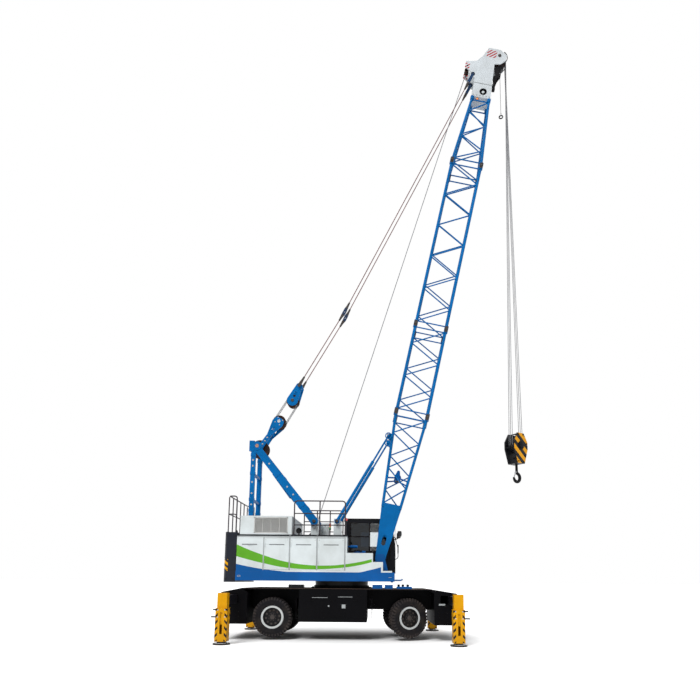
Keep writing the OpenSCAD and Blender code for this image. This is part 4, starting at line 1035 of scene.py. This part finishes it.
seams = Piece()
for side in SIDES:
    y = side * HOUSE_Y
    for x in DOORS:
        seams.box((x - 0.017, y - 0.004, 2.1), (x + 0.017, y + 0.004, 3.1), 0.0015)
    seams.box((-3.16, y - 0.006, 3.105), (0.2 if side < 0 else 0.02, y + 0.006, 3.135), 0.002)
seams.mark(0)
for side in SIDES:
    y = side * HOUSE_Y
    for x in DOORS[1:3]:
        seams.box((x - 0.02, y - 0.012, 3.13), (x + 0.02, y + 0.012, 3.175), 0.003)
    for x in [-2.78] if side < 0 else [-2.78, -1.94, -1.12, -0.28]:
        seams.box((x - 0.232, y - 0.004, 2.864), (x + 0.232, y + 0.004, 2.896), 0.002)
        seams.staple((x - 0.07, y, 2.88), (x + 0.07, y, 2.88), Y * side * 0.03, 0.015, 0.007)
for x in (-1.92, -1.12, -0.28):
    for k in range(12):
        seams.box((-0.28, -0.01, -0.003), (0.28, 0.01, 0.003), turn=tilted((x, 1.401, 2.3 + 0.03 * k), -35))
seams.mark(1)
seams.finish("house_seams", [PALE_TRIM, HANDLE_PAINT], "upperworks")
for number, (x0, x1) in enumerate(zip(DOORS, DOORS[1:]), 1):
    middle = (x0 + 0.0205 + x1 - 0.026) / 2
    latch = Piece()
    latch.box((middle - 0.232, -1.386, 2.868), (middle + 0.232, -1.383, 2.892), 0.001)
    latch.staple((middle - 0.09, -1.384, 2.88), (middle + 0.09, -1.384, 2.88), Y * -0.017, 0.01, 0.007)
    latch.lathe((middle + 0.16, -1.386, 2.88), -Y, [(0, 0), (0.011, 0), (0.011, 0.008), (0.004, 0.01), (0, 0.01)], 16)
    latch.mark(0)
    for z in (2.17, 3.02):
        for x in (x0 + 0.06, x1 - 0.07):
            latch.bolt((x, -HOUSE_Y, z), -Y, 0.006)
    latch.mark(1)
    latch.finish(f"door_latch_{number}", [HANDLE_PAINT, DARK_STEEL], f"house_door_{number}")

treads = Piece()
for x0, x1, z in ((0.24, 1.0, 2.64), (1.04, 1.31, 2.37), (1.35, 1.59, 2.1)):
    treads.box((x0, -1.36, z), (x1, -0.68, z + 0.006), 0.002)
    count = int((x1 - x0) / 0.05)
    for k in range(count):
        for row in range(13):
            at = (x0 + (k + 0.5) * (x1 - x0) / count, -1.34 + 0.05 * (row + 0.5), z + 0.007)
            treads.box((-0.018, -0.004, -0.002), (0.018, 0.004, 0.002),
                       turn=tilted(at, 45 if (k + row) % 2 else -45, "Z"))
treads.finish("step_treads", [ROOF_PAINT], "upperworks")

coil = Piece()
rope_turns(coil, (0.52, -0.29, 2.44), 0.0207, 29, 0.21, 0.0105, 0.0105, 44)
coil.mark(0)
for side in SIDES:
    coil.bolts((0.52, side * 0.335, 2.44), Y * side, X, UP, 0.25, 12, 0.013)
coil.mark(1)
coil.finish("winch_coil", [ROPE_STEEL, DARK_STEEL], "upperworks", 60)

weight = Piece()
for side in SIDES:
    y = side * HOUSE_Y
    for z in (2.1, 2.48, 2.86):
        weight.box((-3.53, y - 0.002, z - 0.005), (-3.19, y + 0.002, z + 0.005))
    for x in (-3.47, -3.25):
        for z in (1.83, 3.15):
            weight.bolt((x, y, z), Y * side, 0.02)
    weight.staple((-3.36, side * 0.7 - 0.09, WEIGHT_TOP - 0.01), (-3.36, side * 0.7 + 0.09, WEIGHT_TOP - 0.01),
                  UP * 0.11, 0.06, 0.02, 10)
for z in (2.1, 2.48, 2.86):
    weight.box((-3.542, -1.38, z - 0.006), (-3.539, 1.38, z + 0.006))
weight.mark(0)
for y in (-1.1, 1.1):
    weight.lathe((-3.54, y, 2.0), -X, [(0, 0), (0.06, 0), (0.06, 0.012), (0.045, 0.025), (0, 0.03)], 28)
weight.mark(1)
weight.finish("weight_trim", [ROOF_PAINT, RED_LENS], "upperworks")

# Cab: seat, console, panes' seals, wiper, mirror, lamps
seat_frame = Piece()
seat_frame.box((0.5, 0.86, FLOOR_Z), (0.84, 1.19, FLOOR_Z + 0.06), 0.01)
for k in range(7):
    seat_frame.lathe((0.67, SEAT_Y, FLOOR_Z + 0.06 + 0.032 * k), UP,
                     [(0, 0), (0.13, 0), (0.15, 0.016), (0.13, 0.032), (0, 0.032)], 28)
for side in SIDES:
    y = SEAT_Y + side * 0.29
    seat_frame.box((0.41, y - 0.04, FLOOR_Z), (0.56, y + 0.04, FLOOR_Z + 0.5), 0.012)
    seat_frame.box((0.41, y - 0.045, FLOOR_Z + 0.5), (1.0, y + 0.045, FLOOR_Z + 0.57), 0.02)
    seat_frame.lathe((0.93, y, FLOOR_Z + 0.57), (0.1, 0, 1), [(0, 0), (0.035, 0), (0.012, 0.03), (0.012, 0.12),
                                                             (0.024, 0.14), (0.028, 0.19), (0.018, 0.215),
                                                             (0, 0.22)], 20)
    for k in range(4):
        seat_frame.bolt((0.66 + 0.05 * k, y, FLOOR_Z + 0.569), UP, 0.01)
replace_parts(seat_frame.finish("seat_frame", [DARK_PLASTIC], "upperworks"), "cab_seat")
recline = tilted((0.46, SEAT_Y, FLOOR_Z + 0.42), -6, "Y")
for name, low, high, turn in (("seat_base", (0.42, 0.79, FLOOR_Z + 0.29), (0.94, 1.26, FLOOR_Z + 0.435), None),
                              ("seat_back", (-0.09, -0.225, 0.0), (0.045, 0.225, 0.52), recline),
                              ("seat_rest", (-0.07, -0.13, 0.54), (0.03, 0.13, 0.68), recline)):
    pad = Piece()
    pad.cushion(low, high, turn)
    pad.finish(name, SEAT_CLOTH, "upperworks", 60)
console = Piece()
console.box((1.42, 0.68, FLOOR_Z), (1.68, 0.9, FLOOR_Z + 0.62), 0.02)
console.box((1.4, 0.68, FLOOR_Z + 0.64), (1.44, 0.94, FLOOR_Z + 0.86), 0.012)
for y in (0.98, 1.12):
    console.box((1.36, y - 0.045, FLOOR_Z), (1.5, y + 0.045, FLOOR_Z + 0.05), 0.01)
for z0, z1 in ((3.5, 3.76), (2.8, 2.995)):
    console.box((0.3, CAB_Y1 - 0.1, z0), (1.5, CAB_Y1 - 0.075, z1), 0.006)
console.finish("cab_console", DARK_PLASTIC, "upperworks")

trim = Piece()
for x0, z0, x1, z1 in ((0.168, 2.788, 1.512, 2.81), (0.168, 3.75, 1.512, 3.772), (0.168, 2.81, 0.19, 3.75),
                       (1.49, 2.81, 1.512, 3.75)):
    trim.box((x0, CAB_Y0 - 0.006, z0), (x1, CAB_Y0 + 0.006, z1), 0.003)
for x0, z0, x1, z1 in ((0.188, 2.81, 0.232, 3.75), (0.869, 2.81, 0.913, 3.75), (0.19, 3.27, 0.88, 3.31)):
    trim.box((x0, CAB_Y0 - 0.004, z0), (x1, CAB_Y0 + 0.012, z1), 0.004)
trim.box((0.04, CAB_Y0 - 0.008, CAB_Z1 - 0.03), (1.66, CAB_Y1 + 0.008, CAB_Z1 + 0.012), 0.008)
for y, out in ((CAB_Y0, -0.03), (CAB_Y1, 0.03)):
    trim.staple((1.6, y, 2.5), (1.6, y, 3.1), Y * out, 0.025, 0.012, 10)
trim.tube([(1.79, 1.0, 2.62), (1.765, 0.82, 3.4)], 0.008, 8)
trim.box((1.768, 0.8, 3.1), (1.778, 0.825, 3.62), 0.002)
trim.tube(rounded([(1.773, 0.6, 3.253), (1.867, 0.57, 2.9), (1.867, 0.57, 2.556), (1.758, 0.6, 2.521)], 0.08), 0.011)
trim.box((1.85, 0.555, 2.72), (1.885, 0.65, 3.02), 0.014)
trim.mark(0)
LAMP_YS = (0.62, 1.4)
for y in LAMP_YS:
    trim.box((1.85, y - 0.09, 3.3), (1.985, y + 0.09, 3.49), 0.03)
    trim.tube(rounded([(1.68, y, 3.3), (1.8, y, 3.24), (1.92, y, 3.31)], 0.04), 0.014, 8)
trim.mark(1)
for y in LAMP_YS:
    trim.lathe((1.985, y, 3.395), X, [(0, -0.01), (0.058, -0.01), (0.06, 0.004), (0.045, 0.012), (0, 0.016)], 28)
trim.mark(2)
trim.finish("cab_trim", [RUBBER, DARK_PLASTIC, CLEAR_LENS], "upperworks")
pane = Piece()
pane.box((0.568, CAB_Y1 - 0.026, 2.808), (1.432, CAB_Y1 - 0.02, 3.722), 0.001)
pane.finish("door_pane", CAB_GLASS, "cab_door")
door_trim = Piece()
for x0, z0, x1, z1 in ((0.55, 2.79, 1.45, 2.812), (0.55, 3.718, 1.45, 3.74), (0.55, 2.81, 0.572, 3.72),
                       (1.428, 2.81, 1.45, 3.72)):
    door_trim.box((x0, CAB_Y1 - 0.03, z0), (x1, CAB_Y1 + 0.004, z1), 0.003)
door_trim.staple((1.4, CAB_Y1, 2.62), (1.28, CAB_Y1, 2.62), Y * 0.04, 0.02, 0.01)
door_trim.finish("door_trim", RUBBER, "cab_door")

# Carrier: side hatches, slewing ring bolts, lamps, labels, foot pads
chassis = Piece()
for side in SIDES:
    y = side * 1.35
    for x in (-0.865, -0.185, 0.495):
        chassis.box((x - 0.325, y - 0.004, 0.62), (x + 0.325, y + 0.004, 1.36), 0.003)
        chassis.staple((x - 0.07, y, 1.2), (x + 0.07, y, 1.2), Y * side * 0.03, 0.012, 0.006)
    for x in (-1.3, 1.0):
        chassis.plate(rectangle(-0.25, -0.3, 0.25, 0.3), (x, side * 1.12, 0.95), Y, UP, 0.012, 0.003)
    for x in (-3.3, -3.05, 3.05, 3.3):
        for z in (0.56, 0.7, 0.84):
            chassis.bolt((x, y, z), Y * side, 0.016)
    hose = [(0.9, side * 1.2, 1.3), (0.98, side * 1.28, 1.2), (1.05, side * 1.2, 1.05), (1.2, side * 1.0, 1.0)]
    chassis.tube(rounded(hose, 0.05), 0.02)
chassis.bolts((0, 0, 1.589), UP, X, Y, 0.955, 44, 0.017)
chassis.lathe((0, 0, 1.56), UP, [(0.905, 0), (1.0, 0), (1.0, 0.024), (0.994, 0.03), (0.905, 0.03)], 88)
for x in (1.82, 1.95, 2.1):
    chassis.lathe((x, -1.17, 1.63), UP, [(0, -0.01), (0.035, -0.01), (0.035, 0.03), (0.05, 0.04), (0.05, 0.06),
                                         (0, 0.07)], 20)
chassis.mark(0)
for side in SIDES:
    chassis.box((-2.93, side * 1.351 - 0.002, 1.545), (2.75, side * 1.351 + 0.002, 1.557), 0.001)
chassis.mark(4)
for side in SIDES:
    y = side * 1.354
    chassis.box((-0.825, y - 0.003, 1.276), (-0.353, y + 0.003, 1.288), 0.001)
    chassis.box((-0.033, y - 0.003, 1.299), (0.408, y + 0.003, 1.311), 0.001)
    chassis.box((0.085, y - 0.005, 0.965), (0.2, y + 0.005, 1.08), 0.003)
    chassis.box((3.04, y - 0.006, 1.07), (3.23, y + 0.002, 1.12), 0.002)
    chassis.lathe((-0.314, y, 1.032), Y * side, [(0, 0), (0.025, 0), (0.025, 0.004), (0, 0.006)], 20)
chassis.mark(1)
for side in SIDES:
    for x, index in ((-3.6, 2), (3.6, 3)):
        chassis.box((x - 0.012, side * 1.2 - 0.09, 0.6), (x + 0.012, side * 1.2 + 0.09, 0.68), 0.01)
        chassis.mark(index)
chassis.finish("carrier_trim", [CARRIER_PAINT, PALE_TRIM, RED_LENS, CLEAR_LENS, EDGE_PAINT], "carrier")

subframe = Piece()
for side in SIDES:
    y = side * 1.402
    subframe.holed(oval(0.05, 0.028, 0.0), oval(0.035, 0.016, 0.0), (-3.07, y, 1.916), X, UP, 0.012)
    subframe.box((1.5, y - 0.003, 1.895), (1.6, y + 0.003, 1.907), 0.001)
subframe.mark(0)
subframe.tube(rounded([(1.6, -1.0, 1.82), (1.9, -1.0, 1.82), (1.95, -1.0, 1.85)], 0.03), 0.022)
subframe.plate(pear(0.05, 0.03, 0.1, 24), (1.62, -1.03, 1.8), X, UP, 0.02, 0.003)
subframe.mark(1)
subframe.finish("subframe_marks", [PALE_TRIM, BLUE_PAINT], "upperworks")

for name, sign, side, foot_x in OUTRIGGERS:
    jack_bits = Piece()
    y = side * JACK_Y
    for z in (0.767, 0.959):
        for dx in (-0.1, 0.1):
            jack_bits.bolt((foot_x + dx, side * 2.765, z), Y * side, 0.013)
    jack_bits.lathe((foot_x, y, 0.04), UP, [(0.122, 0), (0.17, 0), (0.165, 0.012), (0.122, 0.03)], 36)
    jack_bits.bolts((foot_x, y, 0.039), UP, X, Y, 0.2, 8, 0.012, 0.5)
    jack_bits.mark(0)
    for z, length in ((0.96, 0.1), (0.76, 0.15)):
        start = foot_x + sign * 0.163
        end = start + sign * length
        jack_bits.tube([(start, y, z), (end, y, z)], 0.02)
        jack_bits.tube([(end, y - 0.05, z), (end, y + 0.05, z)], 0.016)
    jack_bits.mark(1)
    jack_bits.finish(f"jack_bolts_{name}", [BRIGHT_STEEL, BLACK_PAINT], f"jack_{name}")

# Hook block and hook
block_trim = Piece()
for side in SIDES:
    axis = BLOCK_Y * side
    block_trim.lathe(on_block(0, side * 0.22, 0.06), axis, [(0, 0), (0.14, 0), (0.14, 0.014), (0.1, 0.02),
                                                           (0.1, 0.034), (0.07, 0.04), (0, 0.042)], 40)
    block_trim.bolts(on_block(0, side * 0.234, 0.06), axis, BLOCK_X, UP, 0.12, 8, 0.012)
    for x, z in ((0.11, 0.43), (0.28, 0.14), (0.13, -0.5), (0.2, -0.3)):
        for hand in SIDES:
            block_trim.bolt(on_block(hand * x, side * 0.22, z), axis, 0.018)
for x, z in ((-0.13, 0.44), (0.13, 0.44), (-0.3, -0.02), (0.3, -0.02)):
    block_trim.tube([on_block(x, -0.172, z), on_block(x, 0.172, z)], 0.022, 12)
block_trim.finish("block_trim", BLACK_PAINT, "hook_block", 40)

bowl = on_block(0, 0, -1.02)
HOOK_X = -BLOCK_X
hook_piece = Piece()
path, sizes = [], []
for k in range(41):
    path.append(bowl + 0.145 * spoke((90 + 270 * k / 40) / 360, HOOK_X, UP))
    sizes.append(0.05 + 0.004 * math.sin(math.pi * k / 40) if k < 30 else 0.053 - 0.024 * ((k - 30) / 10) ** 1.5)
hook_piece.tube(path, sizes, 20)
hook_piece.lathe(bowl, UP, [(0, 0.11), (0.046, 0.12), (0.045, 0.2), (0.042, 0.46), (0.044, 0.5), (0.044, 0.6),
                            (0.098, 0.602), (0.1, 0.61), (0.1, 0.67), (0.098, 0.678), (0.045, 0.68), (0.043, 0.71),
                            (0, 0.71)], 36)
hook_piece.mark(0)
latch_at = bowl + HOOK_X * 0.05 + UP * 0.18
hook_piece.tube([latch_at - BLOCK_Y * 0.04, latch_at + BLOCK_Y * 0.04], 0.014, 12)
tip = bowl + HOOK_X * 0.13 + UP * 0.01
hook_piece.plate(pear(0.028, 0.02, (tip - latch_at).length, 24), latch_at, BLOCK_Y, tip - latch_at, 0.012, 0.002)
hook_piece.mark(1)
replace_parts(hook_piece.finish("lifting_hook", [BLACK_PAINT, BRIGHT_STEEL], "hook", 50), "hook")

stop = Piece()
hang = Vector((SHEAVE.x, -0.195, SHEAVE.z))
stop.lathe(hang, Y, rectangle(0.0455, -0.009, 0.072, 0.009), 28)
stop.rope(hang - UP * 0.062, Vector((hang.x, hang.y, 18.86)), 0.008, per_turn=5)
low = Vector((hang.x, hang.y, 18.67))
stop.lathe(low, UP, [(0.056, 0.005), (0.062, 0), (0.076, 0), (0.082, 0.006), (0.082, 0.034), (0.076, 0.04),
                     (0.062, 0.04), (0.056, 0.035)], 32)
for c, s in circle(3):
    stop.tube([low + Vector((0.069 * c, 0.069 * s, 0.038)), low + UP * 0.2], 0.005, 6)
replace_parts(stop.finish("stop_weight", BLACK_PAINT, "limit_weight", 50), "limit_weight")

# Camera at the photograph's angle
PHOTO = 700
FOCUS = 590.0
CENTRE_PIXEL = (375.69, 492.3)
CAMERA_AT = (1.09, -19.6, 1.81)
SENSOR = 36
pitch, roll = math.radians(8.5), math.radians(0.45)
forward = Vector((0, math.cos(pitch), math.sin(pitch)))
level_up = Vector((0, -math.sin(pitch), math.cos(pitch)))
right = math.cos(roll) * X + math.sin(roll) * level_up
upward = -math.sin(roll) * X + math.cos(roll) * level_up
# The photo is cropped off its lens's axis. That slant is in the camera stand's matrix and not in the lens's
# shift, so a view from another side, which leaves the stand, is centred on the crane.
middle = FOCUS * forward + (PHOTO / 2 - CENTRE_PIXEL[0]) * right + (CENTRE_PIXEL[1] - PHOTO / 2) * upward
lens_data = bpy.data.cameras.new("photo_camera")
lens_data.sensor_width = SENSOR
lens_data.lens = SENSOR * middle.length / PHOTO
camera = bpy.data.objects.new("photo_camera", lens_data)
camera_stand = bpy.data.objects.new("camera_stand", None)
for item in (camera, camera_stand):
    bpy.context.scene.collection.objects.link(item)
slanted = Matrix((right, upward, -middle.normalized())).transposed().to_4x4()
camera.parent = camera_stand
camera.matrix_parent_inverse = Matrix.Translation(CAMERA_AT) @ slanted
bpy.context.scene.camera = camera


def seen_rays(tree):
    """1 for rays that show the surroundings: straight, mirrored and through glass."""
    rays = tree.nodes.new("ShaderNodeLightPath")
    total = rays.outputs["Is Camera Ray"]
    for other in ("Is Glossy Ray", "Is Transmission Ray"):
        larger = tree.nodes.new("ShaderNodeMath")
        larger.operation = "MAXIMUM"
        tree.links.new(total, larger.inputs[0])
        tree.links.new(rays.outputs[other], larger.inputs[1])
        total = larger.outputs[0]
    return total


# Pale floor with a painted shadow under the crane, white surroundings and soft light
FLOOR = 400.0
floor_mesh = bpy.data.meshes.new("floor")
floor_mesh.from_pydata([(x, y, 0) for x, y in rectangle(-FLOOR, -FLOOR, FLOOR, FLOOR)], [], [(0, 1, 2, 3)])
floor = bpy.data.objects.new("floor", floor_mesh)
bpy.context.scene.collection.objects.link(floor)
ground = Shader("floor_finish")
ground_shade = ground.mix(ground.noise(0.8, detail=3.0), rgba("#EFEFEF"), rgba("#F4F4F4"))
# The floor's white glow fades out within about 2.3 m along and 1.2 m across from the middle, painting a shadow under
# the crane on top of the lamps' own
glow_outside_painted_shadow = ground.vector("LENGTH", ground.vector("MULTIPLY", ground.place, (0.3, 0.6, 0.0))).band(0.7, 2.4)
floor_glow_with_painted_shadow = glow_outside_painted_shadow * Value(ground, seen_rays(ground.tree)) * 0.5
ground.set(Base_Color=ground_shade, Roughness=0.9, Specular_IOR_Level=0.1, Emission_Color=CLEAN,
           Emission_Strength=floor_glow_with_painted_shadow)
floor_mesh.materials.append(ground.material)

world = bpy.data.worlds.new("studio")
world.use_nodes = True
tree = world.node_tree
background = tree.nodes["Background"]
strength = tree.nodes.new("ShaderNodeMapRange")
strength.inputs["To Min"].default_value = 0.16
strength.inputs["To Max"].default_value = 1.0
tree.links.new(seen_rays(tree), strength.inputs["Value"])
tree.links.new(strength.outputs[0], background.inputs["Strength"])
background.inputs["Color"].default_value = CLEAN
bpy.context.scene.world = world

for name, toward, power, spread in (("front", (0.3, 0.62, -0.72), 2.35, 25), ("top", (0.1, 0.2, -1.0), 0.8, 30),
                                    ("fill", (-0.8, 0.5, -0.4), 0.4, 40), ("back", (0.2, -0.9, -0.6), 0.4, 40)):
    lamp_data = bpy.data.lights.new(name, "SUN")
    lamp_data.energy = power
    lamp_data.angle = math.radians(spread)
    lamp = bpy.data.objects.new(name, lamp_data)
    lamp.visible_glossy = name == "top"
    lamp.rotation_euler = Vector(toward).to_track_quat("-Z", "Y").to_euler()
    bpy.context.scene.collection.objects.link(lamp)

bpy.context.scene.view_settings.view_transform = "Standard"
